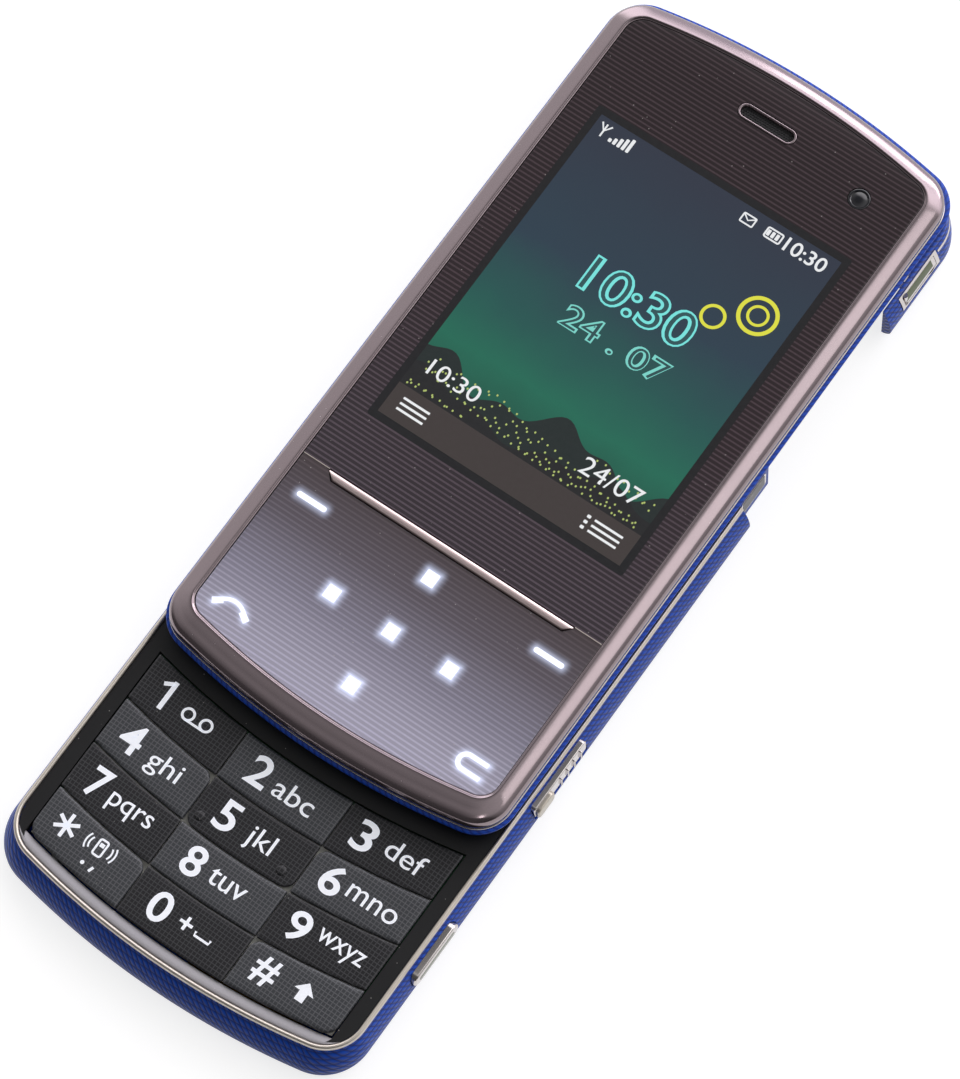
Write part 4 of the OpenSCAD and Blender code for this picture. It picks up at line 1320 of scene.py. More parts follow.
def merged(name: str, objects: Sequence[Object]) -> Object:
    """Joins meshes of one material.

    Args:
        name: The new object's name.
        objects: The meshes, which are removed.

    Returns:
        The joined object.
    """
    bm = bmesh.new()
    for obj in objects:
        bm.from_mesh(obj.data)
        bpy.data.objects.remove(obj)
    mesh = bpy.data.meshes.new(name)
    bm.to_mesh(mesh)
    bm.free()
    made = bpy.data.objects.new(name, mesh)
    bpy.context.scene.collection.objects.link(made)
    return made


@dataclass
class Keypad(Assembly):
    """The twelve keys and what is printed on them. The rows' bow has its radius."""

    sizes: KeypadSizes
    radius: float
    letters: Lettering = field(default_factory=Lettering)

    def bow(self, x: float) -> float:
        """Rise of a row's bowed line at x."""
        return x * x / (2 * self.radius)

    def corner(self, x: float, y: float, sx: int, sy: int, r: float) -> Outline:
        """One corner of a key, its tip at (x, y)."""
        start = {(1, 1): 0, (-1, 1): 90, (-1, -1): 180, (1, -1): 270}[(sx, sy)]
        return arc(x - sx * r, y - sy * r, r, start, start + 90, 8)

    def ring(self, key: Key, inset: float, z: float) -> list[Point3]:
        """A ring of a key's skin.

        Args:
            key: The key.
            inset: How far it is drawn in.
            z: Its height.

        Returns:
            The ring's points.
        """
        s = self.sizes
        g = s.gap + inset
        x0, x1 = s.columns[key.column] + g, s.columns[key.column + 1] - g
        y0 = s.bottom + s.pitch * key.row + g
        y1 = y0 + s.pitch - 2 * g
        r = [max(c, 0.16) - inset * (0.6 if c else 0.1) for c in key.corners]
        r = [max(c, 0.04) for c in r]
        n = 22
        top = [x1 - r[1] - (x1 - r[1] - x0 - r[2]) * i / n for i in range(1, n)]
        low = [x0 + r[3] + (x1 - r[0] - x0 - r[3]) * i / n for i in range(1, n)]
        outline = [
            *self.corner(x1, y0 + self.bow(x1 - r[0]), 1, -1, r[0]),
            *self.corner(x1, y1 + self.bow(x1 - r[1]), 1, 1, r[1]),
            *[(x, y1 + self.bow(x)) for x in top],
            *self.corner(x0, y1 + self.bow(x0 + r[2]), -1, 1, r[2]),
            *self.corner(x0, y0 + self.bow(x0 + r[3]), -1, -1, r[3]),
            *[(x, y0 + self.bow(x)) for x in low],
        ]
        return ring_at(outline, z)

    def build(self) -> None:
        """Builds and dresses the keys and their legends."""
        ink = self.ink()
        for key in KEYS:
            body = self.key(key)
            signs = [
                self.letters.word(
                    f"{key.name}_legend", legend.text, (legend.x, legend.y + OPEN), legend.height,
                    legend.width, 0.016 if len(legend.text) == 1 else 0.002,
                )
                for legend in key.legends
            ]
            signs += self.signs(key)
            legend = self.letters.lay(merged(f"{key.name}_legend", signs), body, 0.015)
            self.place(legend, key.name, ink, "light_white")

    def key(self, key: Key) -> Object:
        """One key with a softly crowned face.

        Args:
            key: The key.

        Returns:
            Its cap and plunger as one piece.
        """
        s = self.sizes
        top = s.light_top if key.raised else s.dark_top
        soft = 0.3 if key.raised else 0.12
        section = [(0, 5.47), (0, top - soft), (0.03, top - soft * 0.72), (0.1, top - soft * 0.45),
                   (0.22, top - soft * 0.26), (0.42, top - soft * 0.14), (0.75, top - soft * 0.06),
                   (1.2, top - 0.002), (2.2, top)]
        obj = make_object(key.name + "_cap", loft([self.ring(key, d, z) for d, z in section]), smooth=60)
        low, high = box_mm(key.name)
        x, y = (low.x + high.x) / 2, (low.y + high.y) / 2
        foot = make_object("foot", plate(arc(x, y, 1.5, 0, 345, 23), low.z, 5.5))
        obj = merged(obj.name, [obj, foot, *self.nibs(key, top)])
        shade(obj, 60)
        return self.place(obj, key.name, LIGHT_KEY if key.raised else DARK_KEY,
                          "key_light" if key.raised else "key_dark", key.name)

    @staticmethod
    def nibs(key: Key, top: float) -> list[Object]:
        """The two small domes that mark the middle key.

        Args:
            key: The key.
            top: Height of its face.

        Returns:
            The domes, or nothing for another key.
        """
        if key.name != "key_5":
            return []
        dome = [(0.62, -0.2), (0.62, 0.02), (0.56, 0.08), (0.42, 0.13), (0.22, 0.16), (0.04, 0.165)]
        return [
            make_object(
                "nib", loft([ring_at(arc(x, -63.45 + OPEN, r, 0, 345, 23), top + z) for r, z in dome])
            )
            for x in (-6.1, 5.4)
        ]

    def signs(self, key: Key) -> list[Object]:
        """The drawn signs on a key.

        Args:
            key: The key.

        Returns:
            Flat meshes, or nothing where it has none.
        """
        stroke = self.letters.stroke
        if key.name == "key_1":
            y = -54.4 + OPEN
            return [
                stroke("left_reel", arc(-14.35, y, 0.72, 0, 345, 23), 0.32, True),
                stroke("right_reel", arc(-11.85, y, 0.72, 0, 345, 23), 0.32, True),
                stroke("tape", [(-14.35, y - 0.72), (-11.85, y - 0.72)], 0.3),
                stroke("one", [(-17.65, y - 1.4), (-17.65, y + 2.4)], 0.6),
                stroke("flag", [(-17.5, y + 2.2), (-18.9, y + 1.45)], 0.5),
            ]
        if key.name == "key_star":
            x, y = -13.1, -73.0 + OPEN
            waves = [stroke("wave", arc(x + side * 0.2, y, r, a - 32, a + 32, 8), 0.22)
                     for side, a in ((-1, 180), (1, 0)) for r in (1.3, 1.8)]
            handset = stroke("handset", moved(rounded_box(1.1, 2.0, 0.25), x, y), 0.26, True)
            star = [
                stroke("arm", [(-17.9, y), (-17.9 + px, y + py)], 0.46)
                for px, py in arc(0, 0, 1.55, 30, 330, 5)
            ]
            stops = [
                self.letters.shape("stop", arc(x - 0.75, y - 2.5, 0.26, 0, 324, 9)),
                stroke("comma", [(x + 0.7, y - 2.3), (x + 0.45, y - 3.0)], 0.34),
            ]
            return [
                *waves,
                *star,
                *stops,
                handset,
                stroke("screen", [(x - 0.3, y + 0.35), (x + 0.3, y + 0.35)], 0.5),
            ]
        if key.name == "key_0":
            y = -75.2 + OPEN
            return [stroke("space_mark", [(1.7, y + 0.5), (1.72, y), (3.7, y), (3.72, y + 0.5)], 0.3)]
        if key.name == "key_hash":
            x, y = 15.9, -73.6 + OPEN
            return [self.letters.shape("arrow", [(x - 0.55, y - 1.2), (x + 0.55, y - 1.2), (x + 0.55, y),
                                                 (x + 1.3, y), (x, y + 1.25), (x - 1.3, y), (x - 0.55, y)])]
        return []

    def ink(self) -> Material:
        """The white of the printed legends, with a faint painted glow.

        Returns:
            The material.
        """
        material, t, shader, place = self.painter.start("legend_white")
        speckle = self.painter.group(t, self.painter.groups.grain, place, 3.0)
        t.feed(shader.inputs["Base Color"], t.mix(speckle, linear((240, 242, 246)), linear((206, 208, 214))))
        shader.inputs["Roughness"].default_value = 0.5
        # Painted glow: a faint bluish emission brightens the printed white.
        shader.inputs["Emission Strength"].default_value = 0.35
        t.feed(shader.inputs["Emission Color"], t.mix(speckle, (0.9, 0.93, 1.0), (0.6, 0.63, 0.7)))
        return material


# ---- Side keys ----


def rod_block(
    y0: float, y1: float, z0: float, z1: float, x0: float, x1: float, r: float, soft: float
) -> Solid:
    """A block that stands out of the right side, round at its corners and its outer edge.

    Args:
        y0: Its lower end.
        y1: Its upper end.
        z0: Its back edge.
        z1: Its front edge.
        x0: Where it starts, inside the wall.
        x1: Its face.
        r: Radius of its four corners.
        soft: Radius of its outer edge.

    Returns:
        The solid.
    """
    rings = []
    steps = [(0.0, x0), *[(soft * (1 - math.cos(a)), x1 - soft + soft * math.sin(a))
                          for a in (math.pi / 2 * i / 6 for i in range(7))]]
    for d, x in steps:
        shape = rounded_box(y1 - y0 - 2 * d, z1 - z0 - 2 * d, max(r - d, 0.05), 7)
        rings.append([(x, y, z) for y, z in moved(shape, (y0 + y1) / 2, (z0 + z1) / 2)])
    return loft(rings)


class SideParts(Assembly):
    """The rocker and the long key in the right wall."""

    def build(self) -> None:
        """Builds and dresses both."""
        self.rocker()
        self.long_key()

    def rocker(self) -> None:
        """The rocker: a bright bar with grip ribs and a thumb pad."""
        low, high = box_mm("side_rocker")
        y0, y1, face = low.y, high.y, high.x - 0.2
        z0, z1 = high.z - 2.3, high.z + 0.3
        bar = make_object("rocker_bar", join([
            rod_block(y0, y1, z0, z1, 22.3, face - 0.3, 0.55, 0.2),
            rod_block(y0 + 0.8, y1 - 0.8, z0 + 0.3, z1 - 0.3, 22.1, 22.7, 0.3, 0.05),
        ]), smooth=40)
        self.place(bar, "side_rocker", CHROME, "chrome_trim", "side_rocker")
        # The pad's beige finish is a painted reflection of a pale wall.
        pad = make_object(
            "rocker_pad",
            rod_block(y0 + 0.1, y0 + 3.3, z0 + 0.15, z1 - 0.15, face - 0.4, high.x, 0.7, 0.22),
            smooth=40,
        )
        self.place(pad, "side_rocker", PAD_PAINTED_REFLECTION, "chrome_trim")
        rib = make_object(
            "rib",
            rod_block(-0.13, 0.13, z0 + 0.15, z1 - 0.15, face - 0.42, face + 0.02, 0.12, 0.1),
            smooth=40,
        )
        ribs = repeated("rocker_ribs", rib, [(0, y0 + 5.0 + i * 1.3, 0) for i in range(4)])
        self.place(ribs, "side_rocker", CHROME, "chrome_trim")

    def long_key(self) -> None:
        """The long key, round at both ends, with an inlay on its face."""
        low, high = box_mm("side_key")
        y0, y1, z0, z1 = low.y + 0.6, high.y - 0.6, low.z + 0.4, high.z - 0.4
        key = make_object("long_key", join([
            rod_block(y0, y1, z0, z1, 22.5, high.x, 1.15, 0.3),
            rod_block(low.y, high.y, low.z, high.z, 22.5, 22.75, 1.2, 0.05),
        ]), smooth=40)
        self.place(key, "side_key", CHROME, "chrome_trim", "side_key")
        # The inlay's olive is a painted reflection.
        inlay = make_object(
            "long_key_inlay",
            rod_block(y0 + 0.9, y1 - 0.9, z0 + 0.7, z1 - 0.7, high.x - 0.3, high.x + 0.02, 0.45, 0.04),
        )
        self.place(inlay, "side_key", DOOR_PAINTED_REFLECTION, "door_olive")


# ---- Geometry Nodes ----


def point_tree(name: str) -> bpy.types.NodeTree:
    """A tree that sets a copy of one shape on each point of a mesh.

    Args:
        name: The tree's name.

    Returns:
        The tree, with the inputs Shape, Scale and Material.
    """
    tree = bpy.data.node_groups.new(name, "GeometryNodeTree")
    face = tree.interface
    face.new_socket("Geometry", in_out="INPUT", socket_type="NodeSocketGeometry")
    face.new_socket("Shape", in_out="INPUT", socket_type="NodeSocketObject")
    face.new_socket("Scale", in_out="INPUT", socket_type="NodeSocketFloat")
    face.new_socket("Material", in_out="INPUT", socket_type="NodeSocketMaterial")
    face.new_socket("Geometry", in_out="OUTPUT", socket_type="NodeSocketGeometry")
    t = Tree(tree)
    start, end = tree.nodes.new("NodeGroupInput"), tree.nodes.new("NodeGroupOutput")
    points = t.add("GeometryNodeMeshToPoints", start.outputs["Geometry"])
    info = tree.nodes.new("GeometryNodeObjectInfo")
    tree.links.new(start.outputs["Shape"], info.inputs["Object"])
    copies = tree.nodes.new("GeometryNodeInstanceOnPoints")
    tree.links.new(points.outputs[0], copies.inputs["Points"])
    tree.links.new(info.outputs["Geometry"], copies.inputs["Instance"])
    tree.links.new(start.outputs["Scale"], copies.inputs["Scale"])
    real = tree.nodes.new("GeometryNodeRealizeInstances")
    tree.links.new(copies.outputs[0], real.inputs[0])
    dress = tree.nodes.new("GeometryNodeSetMaterial")
    tree.links.new(real.outputs[0], dress.inputs["Geometry"])
    tree.links.new(start.outputs["Material"], dress.inputs["Material"])
    tree.links.new(dress.outputs[0], end.inputs[0])
    return tree


def repeated(name: str, shape: Object, places: Sequence[Point3], scale: float = 1.0) -> Object:
    """Copies of a shape at several places, by Geometry Nodes, as one plain mesh.

    Args:
        name: The new object's name.
        shape: The shape, drawn about the origin. It is removed.
        places: Where the copies go, in millimetres.
        scale: Size of the copies.

    Returns:
        The mesh of all the copies.
    """
    tree = bpy.data.node_groups.get("copies_on_points") or point_tree("copies_on_points")
    host = make_object(name, Solid(list(places), []))
    modifier = host.modifiers.new("copies", "NODES")
    modifier.node_group = tree
    sockets = {s.name: s.identifier for s in tree.interface.items_tree if s.in_out == "INPUT"}
    modifier[sockets["Shape"]] = shape
    modifier[sockets["Scale"]] = scale
    modifier[sockets["Material"]] = bpy.data.materials.get("chrome_trim")
    made = finished(host)
    bpy.data.objects.remove(shape)
    return made


# ---- Upper half ----


@dataclass
class UpperSizes:
    """Sizes of the upper half, about its own middle."""

    middle: float = 36.95
    outer: Bowed = Bowed(23.45, -50.1, 50.1, 106, 106, 4.6, 4.6)
    inner: Bowed = Bowed(21.05, -46.7, 47.85, 102, 102, 2.5, 2.5)
    low: float = 6.4
    frame_low: float = 8.3
    rim_out: float = 0.5
    rim_crown: float = 0.92
    glass_low: float = 9.8
    glass: float = 10.65
    wall: float = 1.2
    split: float = -22.0
    ear: Point2 = (0.0, 42.65)
    lens: Point2 = (14.35, 40.65)


@dataclass
class UpperHalf(Assembly):
    """Frame, band, window, touch panel, end key, earpiece and front lens."""

    sizes: UpperSizes

    def build(self) -> None:
        """Builds and dresses the whole sub-assembly."""
        self.frame()
        self.band()
        self.glass()
        self.end_key()
        self.earpiece()
        self.lens()

    def between_rings(self, d: float, t: float, z: float) -> list[Point3]:
        """A ring of the frame.

        Args:
            d: How far the outer outline is drawn in.
            t: Share of the inner outline.
            z: Its height.

        Returns:
            The ring's points.
        """
        s = self.sizes
        outer = s.outer.inset(d).points(56, 22, 60)
        inner = s.inner.points(56, 22, 60)
        return [
            (a[0] + (b[0] - a[0]) * t, a[1] + (b[1] - a[1]) * t + s.middle, z) for a, b in zip(outer, inner)
        ]

    def frame(self) -> None:
        """The metallic frame: a small outer rounding, an even slope and a lip round the glass."""
        s = self.sizes
        section = [
            (0.1, 0, s.frame_low), (0.1, 0, 8.63), (0.02, 0, 8.66), (0, 0, 8.7), (0, 0, 9.2),
            (0.015, 0, 9.45), (0.05, 0, 9.68), (0.11, 0, 9.88), (0.2, 0, 10.05), (0.33, 0, 10.2),
            (0.5, 0, 10.33), (0.75, 0, 10.46), (0, 0.42, 10.56), (0, 0.56, 10.69), (0, 0.7, 10.8),
            (0, 0.8, 10.87), (0, 0.86, 10.895), (0, 0.88, 10.9), (0, 0.895, 10.89), (0, 0.91, 10.86),
            (0, 0.955, 10.74), (0, 0.965, 10.72), (0, 1, 10.71), (0, 1, s.glass_low),
            (s.wall, 0, s.glass_low), (s.wall, 0, s.frame_low),
        ]
        obj = make_object("frame", loft([self.between_rings(*p) for p in section], closed=True), smooth=38)
        self.place(obj, "upper_half", FRAME, "frame_mauve", "slider_frame")

    def band(self) -> None:
        """The blue band, which stands proud under the frame, and the bright line between the two."""
        section = [
            (0.95, self.sizes.low), (0.6, 6.6), (0.38, 6.9), (0.2, 7.3), (0.08, 7.65), (0.02, 7.9),
            (0, 8.05), (0.02, 8.16), (0.08, 8.25), (0.18, 8.3), (1.8, 8.3), (1.8, self.sizes.low),
        ]
        obj = make_object("band", loft([self.rim(d, z) for d, z in section], closed=True), smooth=50)
        self.place(obj, "upper_half", BAND, "band_blue", "side_band")
        line = [
            (0.12, 8.3), (-0.03, 8.31), (-0.07, 8.37), (-0.08, 8.46), (-0.07, 8.55), (-0.03, 8.61),
            (0.12, 8.63),
        ]
        trim = make_object(
            "band_line", loft([self.between_rings(d, 0, z) for d, z in line], closed=True), smooth=50
        )
        self.place(trim, "upper_half", CHROME, "chrome_trim")

    def rim(self, d: float, z: float) -> list[Point3]:
        """A ring of the band.

        Args:
            d: How far it is drawn in.
            z: Its height.

        Returns:
            The ring's points.
        """
        s = self.sizes
        o, w = s.outer, s.rim_out
        shape = Bowed(
            o.half_width + w, o.low - w, o.high + s.rim_crown, o.low_radius, o.high_radius,
            o.low_corner + w, o.high_corner + w,
        )
        return ring_at(moved(shape.inset(d).points(56, 22, 60), 0, s.middle), z)

    def glass(self) -> None:
        """The window and the touch panel, which share one outline and one face."""
        s = self.sizes
        section = [(0.06, s.glass_low), (0.06, 10.56), (0.075, 10.61), (0.11, 10.64), (0.17, s.glass)]
        rings = [ring_at(moved(s.inner.inset(d).points(56, 22, 60), 0, s.middle), z) for d, z in section]
        split = s.split + s.middle
        window = make_object("window", loft(rings), smooth=50)
        window = carve(window, [
            box_solid((-30, -30, 8), (30, split + 0.05, 12)),
            plate(moved(stadium(8.12, 2.22), s.ear[0], s.ear[1] + s.middle), 8, 12),
            plate(arc(s.lens[0], s.lens[1] + s.middle, 1.41, 0, 352.5, 47), 8, 12),
        ], smooth=50)
        self.place(
            window, "upper_half", self.striped("window_striped", False), "window_striped", "front_window"
        )
        pad = make_object("pad", loft(rings), smooth=50)
        pad = carve(pad, [
            box_solid((-30, split - 0.05, 8), (30, 100, 12)),
            plate(moved(self.key_outline(-0.12), 0, s.middle), 8, 12),
        ], smooth=50)
        self.place(pad, "upper_half", self.striped("panel_striped", True), "panel_striped", "touch_panel")

    def key_outline(self, d: float) -> Outline:
        """The end key's opening.

        Args:
            d: How far it is drawn in.

        Returns:
            Its outline about the upper half's middle.
        """
        x, y1, y0 = 17.2 - d, -22.1 - d, -23.15 + d
        if d < 0:
            y1 = -21.5
        return [
            (1 - x, y0), (x - 1, y0), (x, -22.12 - max(d, 0)), (x, y1), (-x, y1), (-x, -22.12 - max(d, 0))
        ]

    def end_key(self) -> None:
        """The slim bright key below the window, and the pale lines that carry its edge on: the glass's real
        polished lower edge, drawn in pale metal as a painted highlight.
        """
        s = self.sizes
        section = [(0, 0, 10.1), (0, 0, 10.6), (0.03, 0.01, 10.68), (0.1, 0.03, 10.74), (0.22, 0.07, 10.79),
                   (0.38, 0.11, 10.825), (0.55, 0.17, 10.845), (0.68, 0.25, 10.85)]
        rings = [ring_at(moved(self.bar(top, low), 0, s.middle), z) for top, low, z in section]
        low, high = box_mm("end_key")
        foot = box_solid((-3, -22.95 + s.middle, low.z), (3, -22.2 + s.middle, 10.3))
        obj = make_object("end_bar", join([loft(rings), foot]), smooth=40)
        self.place(obj, "end_key", BAR, "chrome_trim", "end_key")
        # The glass's real polished edge, in a pale metal that paints its highlight.
        strip = rounded_box(3.72, 0.09, 0.04, 3)
        lines = join(plate(moved(strip, side * 19.1, s.split + s.middle), 10.2, 10.67) for side in (-1, 1))
        self.place(make_object("split_lines", lines), "upper_half", BEAD, "chrome_trim")

    @staticmethod
    def bar(top: float, low: float) -> Outline:
        """The end key's bar, with its ends cut back at the lower edge.

        Args:
            top: How far it is drawn in at its upper edge.
            low: How far at its lower edge.

        Returns:
            Its outline about the upper half's middle.
        """
        x, y1, y0 = 17.2 - low, -22.1 - top, -23.15 + low
        x1 = x - top
        return [(1 - x, y0), (x - 1, y0), (x1, y1 - 0.1), (x1 - 0.06, y1), (0.06 - x1, y1), (-x1, y1 - 0.1)]

    def earpiece(self) -> None:
        """The earpiece's bright rim and its fine black mesh."""
        s = self.sizes
        x, y = s.ear[0], s.ear[1] + s.middle
        section = [
            (0, 9.8), (0, 10.6), (0.04, 10.66), (0.1, 10.695), (0.17, 10.7), (0.25, 10.68), (0.31, 10.62),
            (0.35, 10.5), (0.35, 9.8),
        ]
        rings = [ring_at(moved(stadium(8 - 2 * d, 2.1 - 2 * d), x, y), z) for d, z in section]
        rim = make_object("ear_rim", loft(rings, closed=True), smooth=50)
        self.place(rim, "upper_half", FRAME, "chrome_trim", "earpiece_rim")
        plate_obj = make_object("ear_plate", plate(moved(stadium(7.26, 1.36), x, y), 9.8, 10.16))
        self.place(plate_obj, "upper_half", INNER, "inner_black", "earpiece_mesh")
        ring = loft([[(r * px, r * py, z) for px, py in arc(0, 0, 1, 0, 315, 7)] for r, z in
                     ((0.12, 0), (0.2, 0.02), (0.2, -0.05), (0.12, -0.05))], closed=True)
        cell = make_object("cell", ring, smooth=80)
        places = []
        for row in range(-2, 3):
            for col in range(-10, 11):
                px, py = col * 0.34 + (row % 2) * 0.17, row * 0.29
                ends = max(abs(px) - 2.95, 0)
                if math.hypot(ends, py) < 0.6:
                    places.append((x + px, y + py, 10.22))
        mesh = repeated("ear_mesh", cell, places)
        self.place(mesh, "upper_half", BEZEL, "inner_black")

    def lens(self) -> None:
        """The small front lens: a ring, a step and a domed glass."""
        s = self.sizes
        x, y = s.lens[0], s.lens[1] + s.middle
        section = [
            (1.35, 9.8), (1.35, 10.5), (1.31, 10.57), (1.22, 10.6), (1.1, 10.59), (1.02, 10.5),
            (0.96, 10.44), (0.8, 10.47), (0.55, 10.52), (0.28, 10.55), (0.04, 10.56),
        ]
        rings = [ring_at(arc(x, y, r, 0, 352.5, 47), z) for r, z in section]
        obj = make_object("small_lens", loft(rings), smooth=40)
        self.place(obj, "upper_half", LENS, "lens_glass", "front_lens")

    def striped(self, name: str, lit: bool) -> Material:
        """The dark gloss with fine stripes under it, and a painted reflection that makes it paler towards its
        lower end.

        Args:
            name: The material's name.
            lit: Whether it takes the touch panel's strong painted reflection, pale towards the lower end, and
                glows round the marks; without it the window takes a weaker painted reflection.

        Returns:
            The material.
        """
        material, t, shader, place = self.painter.start(name)
        groups = self.painter.groups
        split = t.add("SeparateXYZ", place)
        x, y = split.outputs[0], t.math("SUBTRACT", split.outputs[1], self.sizes.middle)
        stripe = self.painter.group(t, groups.lines, y, 0.6, 0.36)
        grain = self.painter.group(t, groups.grain, place, 3.0)
        if lit:
            # Painted reflection: the base colour pales from the split down to the lower end, as if the glass
            # mirrored a bright place.
            painted_reflection_share = t.add("MapRange", y, -22.0, -46.7, 0.0, 1.0).outputs[0]
            base = t.ramp(
                painted_reflection_share, (0.0, linear((76, 68, 70))), (0.3, linear((98, 92, 100))),
                (0.6, linear((134, 131, 146))), (0.85, linear((166, 163, 180))),
                (1.0, linear((178, 175, 194))),
            )
            stripes = t.mix(1.0, base, (1.5, 1.5, 1.5), "MULTIPLY")
        else:
            # Painted reflection: the base colour pales a little from the top down to the split.
            painted_reflection_share = t.add("MapRange", y, 48.0, -22.0, 0.0, 1.0).outputs[0]
            base = t.ramp(
                painted_reflection_share, (0.0, linear((47, 40, 42))), (0.6, linear((52, 44, 47))), (1.0, linear((62, 56, 61)))
            )
            stripes = t.mix(1.0, base, (2.8, 2.7, 2.8), "MULTIPLY")
        share = t.math("MULTIPLY", stripe, t.math("ADD", 0.45, t.math("MULTIPLY", grain, 0.55)))
        colour = t.mix(share, base, stripes)
        dust = self.painter.group(t, groups.dust, place, 0.9, 0.4)
        colour = t.mix(t.math("MULTIPLY", dust, 0.5), colour, linear((190, 184, 182)))
        t.feed(shader.inputs["Base Color"], colour)
        self.painter.gloss(shader)
        if lit:
            glow = self.glow(t, x, y)
            t.feed(shader.inputs["Emission Color"], t.mix(glow, (0.0, 0.0, 0.0), (0.66, 0.74, 1.0)))
            shader.inputs["Emission Strength"].default_value = 0.9
        return material

    def glow(self, t: Tree, x: Socket, y: Socket) -> Socket:
        """The light that spreads round the lit marks.

        Args:
            t: The material's tree.
            x: The place's x.
            y: The place's y.

        Returns:
            0 far from the marks to 1 on them.
        """
        total: object = 0.0
        for mark in MARKS:
            dx, dy = t.math("SUBTRACT", x, mark.x), t.math("SUBTRACT", y, mark.y)
            if mark.sign is Sign.ARCH:
                rise = t.math("ADD", dy, 1.75)
                off = t.math("SUBTRACT", self.length(t, dx, rise), 2.25)
                low = t.math("MAXIMUM", t.math("SUBTRACT", -0.85, dy), 0.0)
                away = self.length(t, off, low)
            elif mark.sign is Sign.HOOK:
                left = t.math("MINIMUM", t.math("ADD", dx, 0.6), 0.0)
                right = t.math("MAXIMUM", t.math("SUBTRACT", dx, 1.85), 0.0)
                off = t.math("SUBTRACT", self.length(t, left, dy), 0.95)
                away = self.length(t, off, right)
            else:
                across = t.math(
                    "MAXIMUM", t.math("SUBTRACT", t.math("ABSOLUTE", dx), mark.width / 2 - 0.2), 0.0
                )
                along = t.math(
                    "MAXIMUM", t.math("SUBTRACT", t.math("ABSOLUTE", dy), mark.height / 2 - 0.2), 0.0
                )
                away = self.length(t, across, along)
            near = t.math("SUBTRACT", 1.0, t.math("DIVIDE", away, 1.35), clamp=True)
            total = t.math("ADD", total, t.math("POWER", near, 2.6))
        return total  # type: ignore[return-value]

    @staticmethod
    def length(t: Tree, a: Socket, b: Socket) -> Socket:
        """The length of the vector (a, b)."""
        return t.math("SQRT", t.math("ADD", t.math("MULTIPLY", a, a), t.math("MULTIPLY", b, b)))


# ---- Screen and marks ----


class Sign(Enum):
    """What a lit mark on the touch panel looks like."""

    SQUARE = "square"
    DASH = "dash"
    ARCH = "arch"
    HOOK = "hook"


@dataclass(frozen=True)
class Mark:
    """One lit mark on the touch panel."""

    sign: Sign
    x: float
    y: float
    width: float
    height: float


MARKS = (
    Mark(Sign.SQUARE, 0.2, -26.5, 2.0, 2.1),
    Mark(Sign.SQUARE, -8.1, -34.3, 2.0, 2.1),
    Mark(Sign.SQUARE, 0.2, -34.3, 2.0, 2.1),
    Mark(Sign.SQUARE, 8.4, -34.3, 2.0, 2.1),
    Mark(Sign.SQUARE, 0.2, -42.1, 2.0, 2.1),
    Mark(Sign.DASH, -16.6, -26.5, 4.1, 0.7),
    Mark(Sign.DASH, 16.9, -26.7, 4.1, 0.7),
    Mark(Sign.ARCH, -16.6, -41.9, 5.0, 1.5),
    Mark(Sign.HOOK, 16.9, -42.2, 3.7, 2.5),
)


